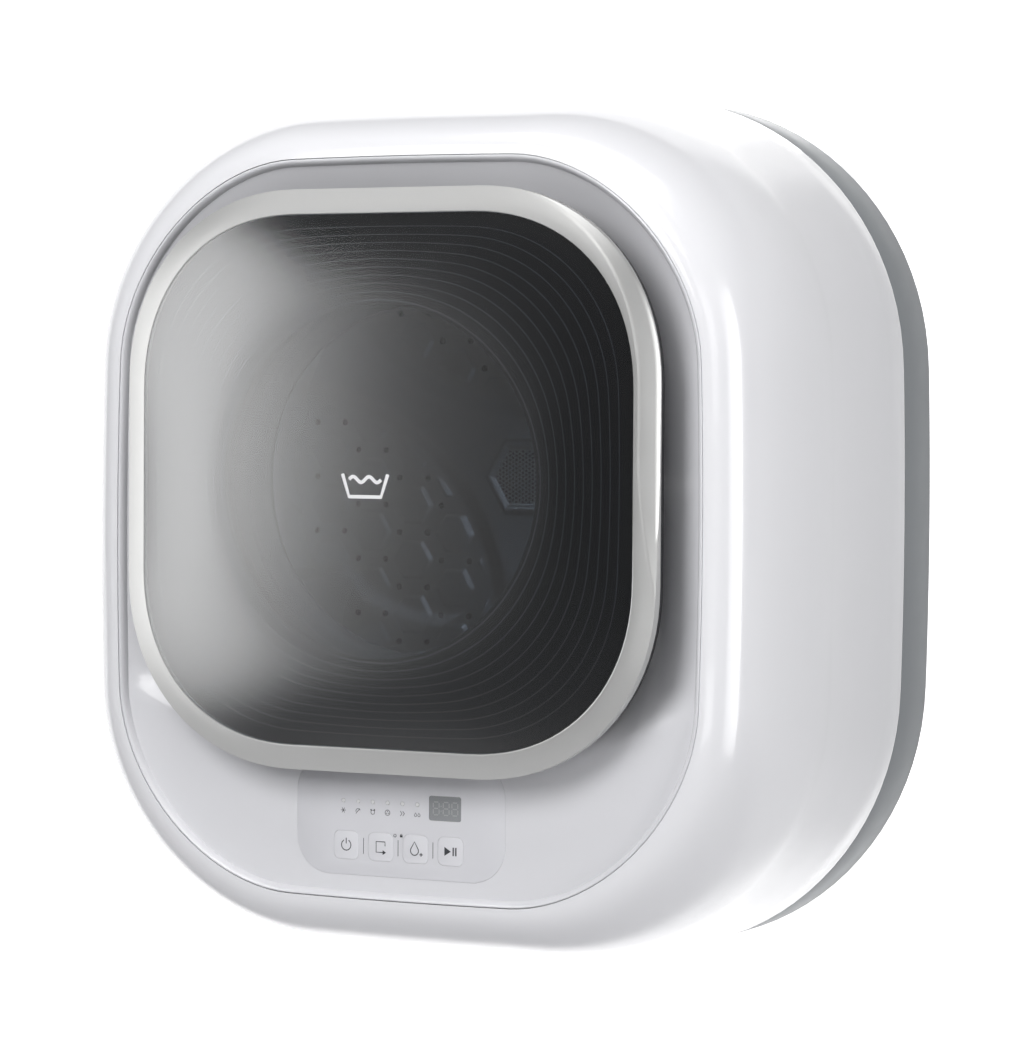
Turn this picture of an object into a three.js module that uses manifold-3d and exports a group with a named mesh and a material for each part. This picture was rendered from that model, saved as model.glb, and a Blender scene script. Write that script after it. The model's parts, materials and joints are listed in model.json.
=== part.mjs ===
// Wall-mounted mini drum washing machine, as an assembly of separate pieces.
//
// Units are millimetres, +Z is up and the machine faces -Y. The origin is the centre of the
// casing's back, on the wall plane. "depth" is the distance out from the wall, so y = -depth.

import * as THREE from 'three';
import { mergeVertices } from 'three/addons/utils/BufferGeometryUtils.js';
import Module from 'manifold-3d';

const wasm = await Module();
wasm.setup();

// ---------------------------------------------------------------- driving dimensions

const GAP = 0.3;

const CASE = { halfWidth: 275, halfHeight: 300, corner: 188.1, power: 2.11, sideBulge: 0.04,
  topBulge: 0.02 };
const CORNER_SHRINK = 0.96;
const REAR_DEPTH = 48.9;
const TAPER_DEPTH = 156.2;
const TAPER_INSET = 7.8;
const RIM_DEPTH = 270.5;
const FILLET_POWER = 2.02;
const WALL = 3;

const SEAM = { halfWidth: 221.6, halfHeight: 249.15, corner: 134.7, power: 1.92, sideBulge: 0.04,
  topBulge: 0.02, centreZ: 0.4 };
const LAND_DEPTH = 266;
const RECESS_DEPTH = 245;
const LIP_WIDTH = 5;
const RECESS_WALL = { width: 36, slope: 0.583 };
const RAMP = { halfWidth: 301, halfHeight: 185, power: 2.5, start: 0.8 };

const AXIS_Z = 33;
const PORT_RADIUS = 140;
const DRUM_RADIUS = 190;
const DRUM_MOUTH_RADIUS = 150;
const TUB_RADIUS = 210.5;
const FLANGE_RADIUS = 220;
const SHAFT_RADIUS = 12;
const BEARING_RADIUS = 20;

const GLASS = { halfWidth: 183.1, halfHeight: 177, corner: 117.7, power: 2.19 };
const RING = { halfWidth: 198.4, halfHeight: 194.1, corner: 129.4, power: 2.1 };
const GLASS_EDGE_DEPTH = 296;
const DOME_HEIGHT = 7.5;
const DOME_FLAT_RADIUS = 120;
const RING_DEPTH = 291.7;
const DOOR_FRONT = 283.7;
const DOOR_BACK = 272;
const HINGE_X = -190;
const HINGE_DEPTH = 277.75;
const HINGE_LUG_OFFSET = 43;
const HINGE_LUG_HEIGHT = 10;

const OVERLAY = { left: -79, right: 79, bottom: -233, top: -152, corner: 25, thickness: 1.2 };
const DISPLAY = { x: 33.9, z: -184.7, width: 24, height: 16.4 };
const LED = { firstX: -43.5, pitch: 11.3, count: 6, z: -183, radius: 1.3 };
const BUTTON = { z: -213, size: 18.6, firstX: -41, pitch: 26.4, count: 4 };

const WALL_BOLT = { x: 200, z: 150 };
const CASE_SCREW = { x: 264, z: 60 };
const TUB_MOUNT = 165;
const PUMP = { x: 60, z: -246, inletTop: -216 };
const SPOUT = { depth: 180, bottom: -199 };
const INLET_X = -85;
// The inlet's threaded union, with the radius that the hose nut needs around it.
const UNION = { radius: 13, bore: 10, face: -298, nutRoom: 17 };
const DRAIN_X = 85;
const GLAND_X = -30;
const SERVICE_DEPTH = 27;

const ROUND_STEPS = 24;
const CORNER_STEPS = 5;
const OUTLINE_COUNT = 4 * (CORNER_STEPS + 2);

// ---------------------------------------------------------------- plane curves

// A square with rounded corners and softly bowed sides, anticlockwise from the middle of its right side.
function outline(shape) {
  const { halfWidth, halfHeight, corner, power, sideBulge = 0, topBulge = 0, centreZ = 0 } = shape;
  const arc = [];
  for (let i = 0; i <= CORNER_STEPS; i++) {
    const turn = (Math.PI / 2) * (i / CORNER_STEPS);
    const x = halfWidth - corner + corner * Math.cos(turn) ** (2 / power);
    const z = halfHeight - corner + corner * Math.sin(turn) ** (2 / power);
    arc.push([x, z]);
  }
  const back = [...arc].reverse();
  const plain = [
    [halfWidth, 0], ...arc,
    [0, halfHeight], ...back.map(([x, z]) => [-x, z]),
    [-halfWidth, 0], ...arc.map(([x, z]) => [-x, -z]),
    [0, -halfHeight], ...back.map(([x, z]) => [x, -z]),
  ];
  return plain.map(([x, z]) => new THREE.Vector2(
    x * (1 - sideBulge * (z / halfHeight) ** 2),
    z * (1 - topBulge * (x / halfWidth) ** 2) + centreZ,
  ));
}

// The same shape, smaller by an inset all round.
function inset(shape, amount, shrink = 1) {
  return {
    ...shape,
    halfWidth: shape.halfWidth - amount,
    halfHeight: shape.halfHeight - amount,
    corner: shape.corner - shrink * amount,
  };
}

function circle(radius, centreZ = 0) {
  const points = [];
  for (let i = 0; i < OUTLINE_COUNT; i++) {
    const turn = (2 * Math.PI * i) / OUTLINE_COUNT;
    points.push(new THREE.Vector2(radius * Math.cos(turn), radius * Math.sin(turn) + centreZ));
  }
  return points;
}

function blendOutlines(first, second, share) {
  return first.map((point, i) => point.clone().lerp(second[i], share));
}

// ---------------------------------------------------------------- solids

// Turns a geometry inside out if its faces point inwards.
function faceOutwards(geometry) {
  const index = geometry.index.array;
  const a = new THREE.Vector3();
  const b = new THREE.Vector3();
  const c = new THREE.Vector3();
  let volume = 0;
  for (let i = 0; i < index.length; i += 3) {
    a.fromBufferAttribute(geometry.attributes.position, index[i]);
    b.fromBufferAttribute(geometry.attributes.position, index[i + 1]);
    c.fromBufferAttribute(geometry.attributes.position, index[i + 2]);
    volume += a.dot(b.cross(c));
  }
  if (volume < 0) {
    for (let i = 0; i < index.length; i += 3) {
      [index[i], index[i + 1]] = [index[i + 1], index[i]];
    }
  }
  return geometry;
}

// Merges shared corners and drops faces that have no area.
function clean(geometry) {
  const bare = new THREE.BufferGeometry();
  bare.setAttribute('position', geometry.attributes.position);
  bare.setIndex(geometry.index);
  const merged = mergeVertices(bare, 1e-4);
  const faces = [];
  const index = merged.index.array;
  for (let i = 0; i < index.length; i += 3) {
    const [a, b, c] = [index[i], index[i + 1], index[i + 2]];
    if (a !== b && b !== c && c !== a) {
      faces.push(a, b, c);
    }
  }
  merged.setIndex(faces);
  return faceOutwards(merged);
}

// Skins a row of [depth, outline] sections. A closed row comes back to its first section, as a ring does.
// A section's depth is a number, or a function of x and z where the section isn't flat.
function loft(sections, closed = false) {
  const count = sections[0][1].length;
  const positions = [];
  for (const [depth, points] of sections) {
    for (const point of points) {
      const here = typeof depth === 'function' ? depth(point.x, point.y) : depth;
      positions.push(point.x, -here, point.y);
    }
  }
  const faces = [];
  const strips = closed ? sections.length : sections.length - 1;
  for (let s = 0; s < strips; s++) {
    const near = s * count;
    const far = ((s + 1) % sections.length) * count;
    for (let i = 0; i < count; i++) {
      const next = (i + 1) % count;
      faces.push(near + i, far + i, far + next, near + i, far + next, near + next);
    }
  }
  if (!closed) {
    addCap(positions, faces, sections[0], 0, false);
    addCap(positions, faces, sections.at(-1), (sections.length - 1) * count, true);
  }
  const geometry = new THREE.BufferGeometry();
  geometry.setAttribute('position', new THREE.Float32BufferAttribute(positions, 3));
  geometry.setIndex(faces);
  return clean(geometry);
}

function addCap(positions, faces, [depth, points], start, isLast) {
  const sum = points.reduce((total, point) => total.add(point), new THREE.Vector2());
  const centre = sum.divideScalar(points.length);
  const hub = positions.length / 3;
  positions.push(centre.x, -depth, centre.y);
  points.forEach((_, i) => {
    const next = (i + 1) % points.length;
    faces.push(hub, start + (isLast ? next : i), start + (isLast ? i : next));
  });
}

// Turns a profile of [radius, depth] points about the Y axis.
function revolve(profile, steps = ROUND_STEPS) {
  const points = profile.map(([radius, depth]) => new THREE.Vector2(radius, -depth));
  if (profile[0][0] > 0) {
    points.push(points[0].clone());
  }
  return clean(new THREE.LatheGeometry(points, steps));
}

// A ring of rectangular section.
function ring(inner, outer, back, front, steps = ROUND_STEPS) {
  return revolve([[inner, back], [outer, back], [outer, front], [inner, front]], steps);
}

function rod(radius, back, front, steps = 16) {
  return revolve([[0, back], [radius, back], [radius, front], [0, front]], steps);
}

// A box from its lowest to its highest corner, given as x, depth and z.
function box([x0, d0, z0], [x1, d1, z1]) {
  const geometry = new THREE.BoxGeometry(x1 - x0, d1 - d0, z1 - z0);
  geometry.translate((x0 + x1) / 2, -(d0 + d1) / 2, (z0 + z1) / 2);
  return clean(geometry);
}

function moved(geometry, x, z, depth = 0) {
  return geometry.translate(x, -depth, z);
}

// A rod along Z.
function post(radius, bottom, top, x, depth, steps = 16) {
  const geometry = new THREE.CylinderGeometry(radius, radius, top - bottom, steps);
  geometry.rotateX(Math.PI / 2);
  return clean(geometry.translate(x, -depth, (bottom + top) / 2));
}

// A plate with rounded corners, lying in the wall's plane.
function roundedPlate(width, height, corner, back, front, cornerSteps = 5) {
  const shape = new THREE.Shape();
  const w = width / 2;
  const h = height / 2;
  shape.moveTo(w, -h + corner);
  shape.absarc(w - corner, h - corner, corner, 0, Math.PI / 2);
  shape.absarc(-w + corner, h - corner, corner, Math.PI / 2, Math.PI);
  shape.absarc(-w + corner, -h + corner, corner, Math.PI, 1.5 * Math.PI);
  shape.absarc(w - corner, -h + corner, corner, 1.5 * Math.PI, 2 * Math.PI);
  return plate(shape, back, front, cornerSteps);
}

// A flat shape, drawn in X and Z, with a thickness in depth.
function plate(shape, back, front, curveSegments = 5) {
  const options = { depth: front - back, bevelEnabled: false, curveSegments };
  const geometry = new THREE.ExtrudeGeometry(shape, options);
  geometry.rotateX(Math.PI / 2);
  return clean(geometry.translate(0, -back, 0));
}

// A hose along a smooth curve through points given as x, depth and z.
function hose(points, radius, steps) {
  const knots = points.map(([x, depth, z]) => new THREE.Vector3(x, -depth, z));
  const path = new THREE.CatmullRomCurve3(knots);
  const section = new THREE.Shape().absarc(0, 0, radius, 0, 2 * Math.PI);
  const options = { steps, extrudePath: path, curveSegments: 4, bevelEnabled: false };
  return clean(new THREE.ExtrudeGeometry(section, options));
}

function toSolid(geometry) {
  const vertProperties = new Float32Array(geometry.attributes.position.array);
  const triVerts = new Uint32Array(geometry.index.array);
  return new wasm.Manifold(new wasm.Mesh({ numProp: 3, vertProperties, triVerts }));
}

function fromSolid(solid) {
  const mesh = solid.getMesh();
  const geometry = new THREE.BufferGeometry();
  geometry.setAttribute('position', new THREE.Float32BufferAttribute(mesh.vertProperties, 3));
  geometry.setIndex(Array.from(mesh.triVerts));
  return geometry;
}

function join(...geometries) {
  return fromSolid(geometries.map(toSolid).reduce((whole, piece) => whole.add(piece)));
}

function cut(body, ...tools) {
  return fromSolid(tools.map(toSolid).reduce((rest, tool) => rest.subtract(tool), toSolid(body)));
}

// ---------------------------------------------------------------- materials

const finishes = {
  white: { color: 0xeeeef2, roughness: 0.25, metalness: 0 },
  grey: { color: 0x868a8e, roughness: 0.5, metalness: 0 },
  dark: { color: 0x1b1c20, roughness: 0.45, metalness: 0 },
  rubber: { color: 0x8a8d90, roughness: 0.8, metalness: 0 },
  silver: { color: 0xc9cac8, roughness: 0.3, metalness: 0.9 },
  steel: { color: 0xb8bbbe, roughness: 0.28, metalness: 1 },
  glass: { color: 0x24262b, roughness: 0.05, metalness: 0 },
  clear: { color: 0xdfe6ea, roughness: 0.05, metalness: 0 },
  tub: { color: 0xc8cacd, roughness: 0.55, metalness: 0 },
  board: { color: 0x1f5a3a, roughness: 0.6, metalness: 0 },
  copper: { color: 0xa4603a, roughness: 0.4, metalness: 1 },
};

function piece(name, geometry, finish) {
  const material = new THREE.MeshStandardMaterial({ ...finishes[finish] });
  const mesh = new THREE.Mesh(geometry, material);
  mesh.name = name;
  return mesh;
}

function at(mesh, x, depth, z) {
  mesh.position.set(x, -depth, z);
  return mesh;
}

// ---------------------------------------------------------------- casing

function caseSection(depth, amount) {
  return [depth, outline(inset(CASE, amount, CORNER_SHRINK))];
}

// Four points, one in each quarter of the back.
function quarters(x, z) {
  return [[x, z], [-x, z], [-x, -z], [x, -z]];
}

function rearFrame() {
  const tray = loft([
    caseSection(0, 0),
    caseSection(REAR_DEPTH, 0),
    caseSection(REAR_DEPTH, WALL),
    caseSection(WALL, WALL),
  ]);
  const pillars = quarters(CASE_SCREW.x, CASE_SCREW.z)
    .map(([x, z]) => moved(rod(9, 1, REAR_DEPTH, 12), x, z));
  const screwHoles = quarters(CASE_SCREW.x, CASE_SCREW.z).flatMap(([x, z]) => [
    moved(rod(2.9, -1, REAR_DEPTH + 1, 8), x, z),
    moved(rod(5.5, -1, 4, 10), x, z),
  ]);
  const boltHoles = quarters(WALL_BOLT.x, WALL_BOLT.z)
    .map(([x, z]) => moved(rod(10.3, -1, WALL + 1, 12), x, z));
  const belowCase = -CASE.halfHeight - 1;
  const services = [
    post(UNION.nutRoom, belowCase, -280, INLET_X, SERVICE_DEPTH, 24),
    post(8.4, belowCase, -280, DRAIN_X, SERVICE_DEPTH),
    post(9.3, belowCase, -280, GLAND_X, SERVICE_DEPTH),
  ];
  return cut(join(tray, ...pillars), ...screwHoles, ...boltHoles, ...services);
}

// The big front fillet, from the end of the taper to the front rim.
function filletSections(steps, wall) {
  const start = outline(inset(CASE, TAPER_INSET + wall, CORNER_SHRINK));
  const rim = outline(SEAM);
  const sections = [];
  for (let i = 0; i <= steps; i++) {
    const turn = (Math.PI / 2) * (i / steps);
    const rise = Math.sin(turn) ** (2 / FILLET_POWER);
    const run = 1 - Math.cos(turn) ** (2 / FILLET_POWER);
    sections.push([TAPER_DEPTH + (RIM_DEPTH - TAPER_DEPTH - wall) * rise, blendOutlines(start, rim, run)]);
  }
  return sections;
}

function frontShell() {
  const back = REAR_DEPTH + GAP;
  const shell = loft([
    caseSection(back, 0),
    ...filletSections(6, 0),
    ...filletSections(4, WALL).reverse(),
    caseSection(back, WALL),
  ], true);
  const bosses = quarters(CASE_SCREW.x, CASE_SCREW.z).map(([x, z]) => moved(rod(8, back, 80, 12), x, z));
  const bossHoles = quarters(CASE_SCREW.x, CASE_SCREW.z)
    .map(([x, z]) => moved(rod(2.9, back - 1, 70, 8), x, z));
  return cut(join(shell, ...bosses), ...bossHoles);
}

// The depth of the panel's dish. Its floor is low behind the door and ramps up, below the door,
// to a flat land.
function dishFloor(x, z) {
  const below = Math.max(AXIS_Z - z, 0) / RAMP.halfHeight;
  const aside = Math.abs(x) / RAMP.halfWidth;
  const reach = (below ** RAMP.power + aside ** RAMP.power) ** (1 / RAMP.power);
  const share = THREE.MathUtils.smoothstep(reach, RAMP.start, 1);
  return THREE.MathUtils.lerp(RECESS_DEPTH, LAND_DEPTH, share);
}

// The recess's wall falls from the lip at a steady slope until it meets the floor.
function dishSection(inward, lowered) {
  const wallDepth = LAND_DEPTH - RECESS_WALL.slope * inward;
  const depth = (x, z) => Math.max(wallDepth, dishFloor(x, z)) - lowered;
  return [depth, outline(inset(SEAM, LIP_WIDTH + inward))];
}

function floorSection(share, lowered) {
  const foot = outline(inset(SEAM, LIP_WIDTH + RECESS_WALL.width));
  const port = circle(PORT_RADIUS, AXIS_Z);
  return [(x, z) => dishFloor(x, z) - lowered, blendOutlines(foot, port, share)];
}

function dishRows(lowered, floorShares) {
  return [
    ...[0, 0.33, 0.67, 1].map((share) => dishSection(share * RECESS_WALL.width, lowered)),
    ...floorShares.map((share) => floorSection(share, lowered)),
  ];
}

// The dished front panel: a lip, a sloping wall, a floor with the door's port, and a land for the controls.
function frontPanel() {
  const edge = GAP + 0.1;
  const body = loft([
    [LAND_DEPTH - WALL, outline(inset(SEAM, edge))],
    [RIM_DEPTH - 0.5, outline(inset(SEAM, edge))],
    [RIM_DEPTH, outline(inset(SEAM, edge + 0.8))],
    [RIM_DEPTH - 1.5, outline(inset(SEAM, edge + 3))],
    ...dishRows(0, [0.25, 0.45, 0.6, 0.76, 0.92]),
    [RECESS_DEPTH, circle(PORT_RADIUS, AXIS_Z)],
    [225, circle(PORT_RADIUS, AXIS_Z)],
    [225, circle(PORT_RADIUS + WALL, AXIS_Z)],
    [RECESS_DEPTH - WALL, circle(PORT_RADIUS + WALL, AXIS_Z)],
    ...dishRows(WALL, [0.25, 0.5, 0.76]).reverse(),
  ], true);
  const latchSlot = box([154, 235, AXIS_Z - 6], [177, 250, AXIS_Z + 6]);
  const cupHole = box([-150, 235, 142], [-107, 250, 168]);
  return cut(body, latchSlot, cupHole, ...controlOpenings(true));
}

// ---------------------------------------------------------------- controls

function overlayPlate(clearance, back, front) {
  const width = OVERLAY.right - OVERLAY.left + 2 * clearance;
  const height = OVERLAY.top - OVERLAY.bottom + 2 * clearance;
  const centreX = (OVERLAY.left + OVERLAY.right) / 2;
  const centreZ = (OVERLAY.bottom + OVERLAY.top) / 2;
  return moved(roundedPlate(width, height, OVERLAY.corner + clearance, back, front), centreX, centreZ);
}

function buttonXs() {
  return Array.from({ length: BUTTON.count }, (_, i) => BUTTON.firstX + i * BUTTON.pitch);
}

function ledXs() {
  return Array.from({ length: LED.count }, (_, i) => LED.firstX + i * LED.pitch);
}

// What the panel or the overlay is cut with, so that buttons, lights and display show through it.
function controlOpenings(isPanel) {
  const back = LAND_DEPTH - 2 * WALL;
  const front = LAND_DEPTH + 2;
  const side = BUTTON.size + 0.8;
  const buttons = buttonXs().map((x) => moved(roundedPlate(side, side, 4.4, back, front, 2), x, BUTTON.z));
  const lights = ledXs().map((x) => moved(rod(LED.radius + GAP, back, front, 8), x, LED.z));
  const window = roundedPlate(DISPLAY.width + 0.6, DISPLAY.height + 0.6, 1.8, back, front, 2);
  const openings = [...buttons, ...lights, moved(window, DISPLAY.x, DISPLAY.z)];
  if (isPanel) {
    openings.push(overlayPlate(GAP, LAND_DEPTH - OVERLAY.thickness - GAP, front));
  }
  return openings;
}

function controlOverlay() {
  return cut(overlayPlate(0, LAND_DEPTH - OVERLAY.thickness, LAND_DEPTH), ...controlOpenings(false));
}

function displayWindow() {
  return roundedPlate(DISPLAY.width, DISPLAY.height, 1.5, LAND_DEPTH - OVERLAY.thickness, LAND_DEPTH, 2);
}

function lightGuide() {
  const xs = ledXs();
  const bar = box([xs[0] - 3, 258, LED.z - 3], [xs.at(-1) + 3, 260.5, LED.z + 3]);
  const pins = xs.map((x) => moved(rod(LED.radius, 260, LAND_DEPTH, 8), x, LED.z));
  return join(bar, ...pins);
}

// A push button: a cap that shows, on a wider foot that keeps it in the panel.
function button() {
  const cap = roundedPlate(BUTTON.size, BUTTON.size, 4, 262, LAND_DEPTH + 0.5, 2);
  const foot = roundedPlate(BUTTON.size + 3.6, BUTTON.size + 3, 4, 261, 262.6, 2);
  return join(cap, foot);
}

function displayBoard() {
  const board = box([-60, 254, -228], [60, 255.6, -168]);
  const switches = buttonXs().map((x) => box([x - 3, 255, BUTTON.z - 3], [x + 3, 259.4, BUTTON.z + 3]));
  const digits = box([DISPLAY.x - 10.5, 255, DISPLAY.z - 6.5], [DISPLAY.x + 10.5, 263.9, DISPLAY.z + 6.5]);
  const chip = box([-20, 252.4, -200], [0, 254.5, -186]);
  return join(board, ...switches, digits, chip);
}

// ---------------------------------------------------------------- tub, seals and door port

function tubRear() {
  const bowl = revolve([
    [BEARING_RADIUS + GAP, 20], [28, 20], [28, 60], [TUB_RADIUS, 60], [TUB_RADIUS, 132],
    [FLANGE_RADIUS, 132], [FLANGE_RADIUS, 139.7], [TUB_RADIUS - 3.5, 139.7], [TUB_RADIUS - 3.5, 64],
    [BEARING_RADIUS + GAP, 64],
  ]);
  const lugs = quarters(TUB_MOUNT, TUB_MOUNT).map(([x, z]) => {
    const lug = roundedPlate(60, 24, 11, 60.1, 70, 3);
    lug.rotateY(-Math.atan2(z, x));
    const reach = 0.94;
    return lug.translate(x * reach, 0, z * reach);
  });
  const inside = rod(TUB_RADIUS - 3.5, 64, 75, ROUND_STEPS);
  const bearingHole = rod(BEARING_RADIUS + GAP, 10, 75, ROUND_STEPS);
  return cut(join(bowl, ...lugs.map((lug) => cut(lug, inside))), bearingHole);
}

function tubFront() {
  const shell = revolve([
    [TUB_RADIUS - 3.5, 140], [FLANGE_RADIUS, 140], [FLANGE_RADIUS, 147], [TUB_RADIUS, 147], [TUB_RADIUS, 205],
    [TUB_RADIUS - 7, 212], [141, 212], [141, 222], [138, 222], [138, 208.5],
    [TUB_RADIUS - 9, 208.5], [TUB_RADIUS - 3.5, 203],
  ]);
  const spout = post(16, SPOUT.bottom - AXIS_Z, -199, PUMP.x, SPOUT.depth);
  const keptSpout = cut(spout, rod(TUB_RADIUS - 3.5, 150, 208.5, ROUND_STEPS));
  return cut(join(shell, keptSpout), post(12, -240, -190, PUMP.x, SPOUT.depth));
}

function gasket() {
  return revolve([
    [137.7, 213], [137.7, RECESS_DEPTH + GAP], [147, RECESS_DEPTH + GAP], [147, 248], [131, 248],
    [131, 241], [117.5, 238.5], [117.5, 236], [130, 236], [130, 213],
  ]);
}

function gasketClamp() {
  return ring(140, 143, 248.3, 250.3);
}

function shaftSeal() {
  return ring(SHAFT_RADIUS + GAP, BEARING_RADIUS, 59, 64, 20);
}

function bearing(back) {
  return ring(SHAFT_RADIUS + GAP, BEARING_RADIUS, back, back + 12, 20);
}

// ---------------------------------------------------------------- drum and drive

function drumShell() {
  const inner = DRUM_RADIUS - 2;
  return revolve([
    [inner, 76.6], [DRUM_RADIUS, 76.6], [DRUM_RADIUS, 204], [DRUM_MOUTH_RADIUS, 204],
    [DRUM_MOUTH_RADIUS, 202], [inner, 202],
  ]);
}

function drumBack() {
  return rod(DRUM_RADIUS, 74.3, 76.3, ROUND_STEPS);
}

function drumSpider() {
  const arms = [0, 1, 2].map((i) => {
    const arm = box([0, 66.5, -13], [170, 73.5, 13]);
    return arm.rotateY((2 * Math.PI * i) / 3 + Math.PI / 2);
  });
  return cut(join(rod(34, 66, 74, 20), ...arms), rod(SHAFT_RADIUS + GAP, 60, 80, 20));
}

function drumShaft() {
  return rod(SHAFT_RADIUS, 9, 73.7, 20);
}

// A paddle: a ridge with a rounded top and a flat foot, along the drum.
function lifter() {
  const foot = 27;
  const height = 38;
  const shape = new THREE.Shape();
  shape.moveTo(-foot, 0);
  shape.quadraticCurveTo(-10, -4, -8, -height + 8);
  shape.quadraticCurveTo(0, -height - 6, 8, -height + 8);
  shape.quadraticCurveTo(10, -4, foot, 0);
  return plate(shape, 84, 192, 5).translate(0, 0, DRUM_RADIUS - 6.5);
}

function stator() {
  const teeth = Array.from({ length: 12 }, (_, i) => {
    const tooth = box([57, 24, -7], [85, 52, 7]);
    return tooth.rotateY((2 * Math.PI * i) / 12);
  });
  const standoffs = [0, 1, 2].map((i) => {
    const standoff = rod(6, 50, 59.7, 10).translate(50, 0, 0);
    return standoff.rotateY((2 * Math.PI * i) / 3);
  });
  return join(ring(40, 60, 22, 54, 24), ...teeth, ...standoffs);
}

function rotor() {
  return revolve([
    [SHAFT_RADIUS + GAP, 12], [92, 12], [92, 54], [88, 54], [88, 16], [SHAFT_RADIUS + GAP, 16],
  ]);
}

function rotorNut() {
  return cut(rod(19, 5, 11.7, 6), rod(SHAFT_RADIUS + GAP, 4, 13, 20));
}

// ---------------------------------------------------------------- water, power and fixings

function tubMount() {
  return revolve([[0, 3.3], [14, 3.3], [14, 14], [9, 22], [9, 44], [14, 50], [14, 59.7], [0, 59.7]], 12);
}

function wallBush() {
  return revolve([[4.5, GAP], [10, GAP], [10, WALL + GAP], [15, WALL + GAP], [15, 8], [4.5, 8]], 12);
}

function caseScrew() {
  return revolve([[0, 0.5], [5, 0.5], [5, 3.7], [2.5, 3.7], [2.5, 68], [0, 69.4]], 8);
}

function inletValve() {
  const union = post(UNION.radius, UNION.face, -262, INLET_X, SERVICE_DEPTH, 24);
  const body = box([INLET_X - 20, SERVICE_DEPTH - 17, -266], [INLET_X + 20, SERVICE_DEPTH + 17, -240]);
  const coil = post(13, -242, -222, INLET_X + 6, SERVICE_DEPTH + 4);
  const nipple = post(8, -258, -238, INLET_X - 32, SERVICE_DEPTH, 12);
  const elbow = box([INLET_X - 38, SERVICE_DEPTH - 6, -258], [INLET_X - 18, SERVICE_DEPTH + 6, -248]);
  const bore = post(UNION.bore, UNION.face - 1, -270, INLET_X, SERVICE_DEPTH, 24);
  return cut(join(union, body, coil, nipple, elbow), bore);
}

function inletHose() {
  return hose([
    [INLET_X - 32, SERVICE_DEPTH, -237.4], [INLET_X - 32, SERVICE_DEPTH, -230],
    [INLET_X - 40, SERVICE_DEPTH + 2, -216], [-165, 36, -195],
    [-222, 60, -140], [-243, 95, -70], [-246, 115, 10], [-240, 140, 80], [-222, 180, 130],
    [-196, 216, 154], [-172, 227, 156], [-152.8, 228, 156],
  ], 6, 26);
}

// A cup for detergent: its mouth is in the floor of the door recess, with a sill that holds the powder in.
function dispenserCup() {
  const outer = box([-152, 216, 138], [-105, 241.7, 172]);
  const neck = box([-149.6, 240, 142.4], [-107.4, 246, 167.6]);
  const hollow = box([-147.6, 218.5, 144.4], [-109.4, 243, 165.6]);
  const mouth = box([-147.6, 240, 150], [-109.4, 250, 165.6]);
  return cut(join(outer, neck), hollow, mouth);
}

// A bellows from the tub's spout down to the pump.
function sumpHose() {
  const length = SPOUT.bottom - PUMP.inletTop - 2 * GAP;
  const profile = [
    [9, 0], [13, 0], [13, 3], [17, 5], [13, 7.5], [17, 10], [13, 12.5], [13, length], [9, length],
  ];
  const points = profile.map(([radius, height]) => new THREE.Vector2(radius, height));
  points.push(points[0].clone());
  const bellows = new THREE.LatheGeometry(points, 14).rotateX(Math.PI / 2);
  return clean(bellows.translate(PUMP.x, -SPOUT.depth, PUMP.inletTop + GAP));
}

function drainPump() {
  const volute = moved(rod(27, 163, 202, 24), PUMP.x, PUMP.z);
  const motor = moved(rod(20, 124, 165, 20), PUMP.x, PUMP.z);
  const inlet = post(14, -232, PUMP.inletTop, PUMP.x, SPOUT.depth, 20);
  const outlet = box([PUMP.x, 182, PUMP.z - 9], [PUMP.x + 40, 198, PUMP.z + 9]);
  const chamber = moved(rod(22.5, 167, 198, 24), PUMP.x, PUMP.z);
  const outletBore = box([PUMP.x, 186, PUMP.z - 5], [PUMP.x + 41, 194, PUMP.z + 5]);
  const inletBore = post(9, -240, PUMP.inletTop, PUMP.x, SPOUT.depth, 20);
  return cut(join(volute, motor, inlet, outlet), chamber, inletBore, outletBore);
}

function pumpImpeller() {
  const blades = [0, 1].map((i) => box([-19, 170, -1.5], [19, 194, 1.5]).rotateY((Math.PI / 2) * i));
  return join(rod(6, 168, 196, 12), ...blades);
}

function drainHose() {
  return hose([
    [PUMP.x + 40.4, 190, PUMP.z], [PUMP.x + 58, 190, PUMP.z], [PUMP.x + 72, 172, PUMP.z - 4],
    [PUMP.x + 74, 130, -246], [PUMP.x + 68, 80, -250], [PUMP.x + 48, 42, -256], [DRAIN_X + 4, 30, -268],
    [DRAIN_X, SERVICE_DEPTH, -284], [DRAIN_X, SERVICE_DEPTH, -298],
  ], 7.5, 20);
}

function pressureSwitch() {
  const stem = rod(8, WALL + GAP, 60, 12);
  const can = rod(22, 54, 72, 20);
  const nipple = rod(4, 70, 82, 10);
  return moved(join(stem, can, nipple), 100, 258);
}

function controlBox() {
  const tray = box([-130, 150, -276], [10, 200, -196]);
  return cut(tray, box([-127.5, 152.5, -273.5], [7.5, 201, -198.5]));
}

function mainBoard() {
  const board = box([-126, 156, -272], [6, 158, -200]);
  const relay = box([-118, 157, -262], [-96, 176, -240]);
  const capacitor = moved(rod(11, 157, 190, 16), -70, -240);
  const heatSink = box([-40, 157, -264], [-10, 184, -236]);
  const connector = box([-118, 157, -216], [-60, 168, -206]);
  const spacers = quarters(60, 30).map(([x, z]) => moved(rod(3, 152.8, 157, 8), x - 60, z - 236));
  return join(board, relay, capacitor, heatSink, connector, ...spacers);
}

function powerGland() {
  const body = post(9, -299, -284, GLAND_X, SERVICE_DEPTH);
  const collar = post(12, -296.4, -291, GLAND_X, SERVICE_DEPTH);
  return cut(join(body, collar), post(4.5, -300, -283, GLAND_X, SERVICE_DEPTH, 12));
}

// ---------------------------------------------------------------- door

function doorOutline(shape, amount) {
  return outline(inset(shape, amount));
}

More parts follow.
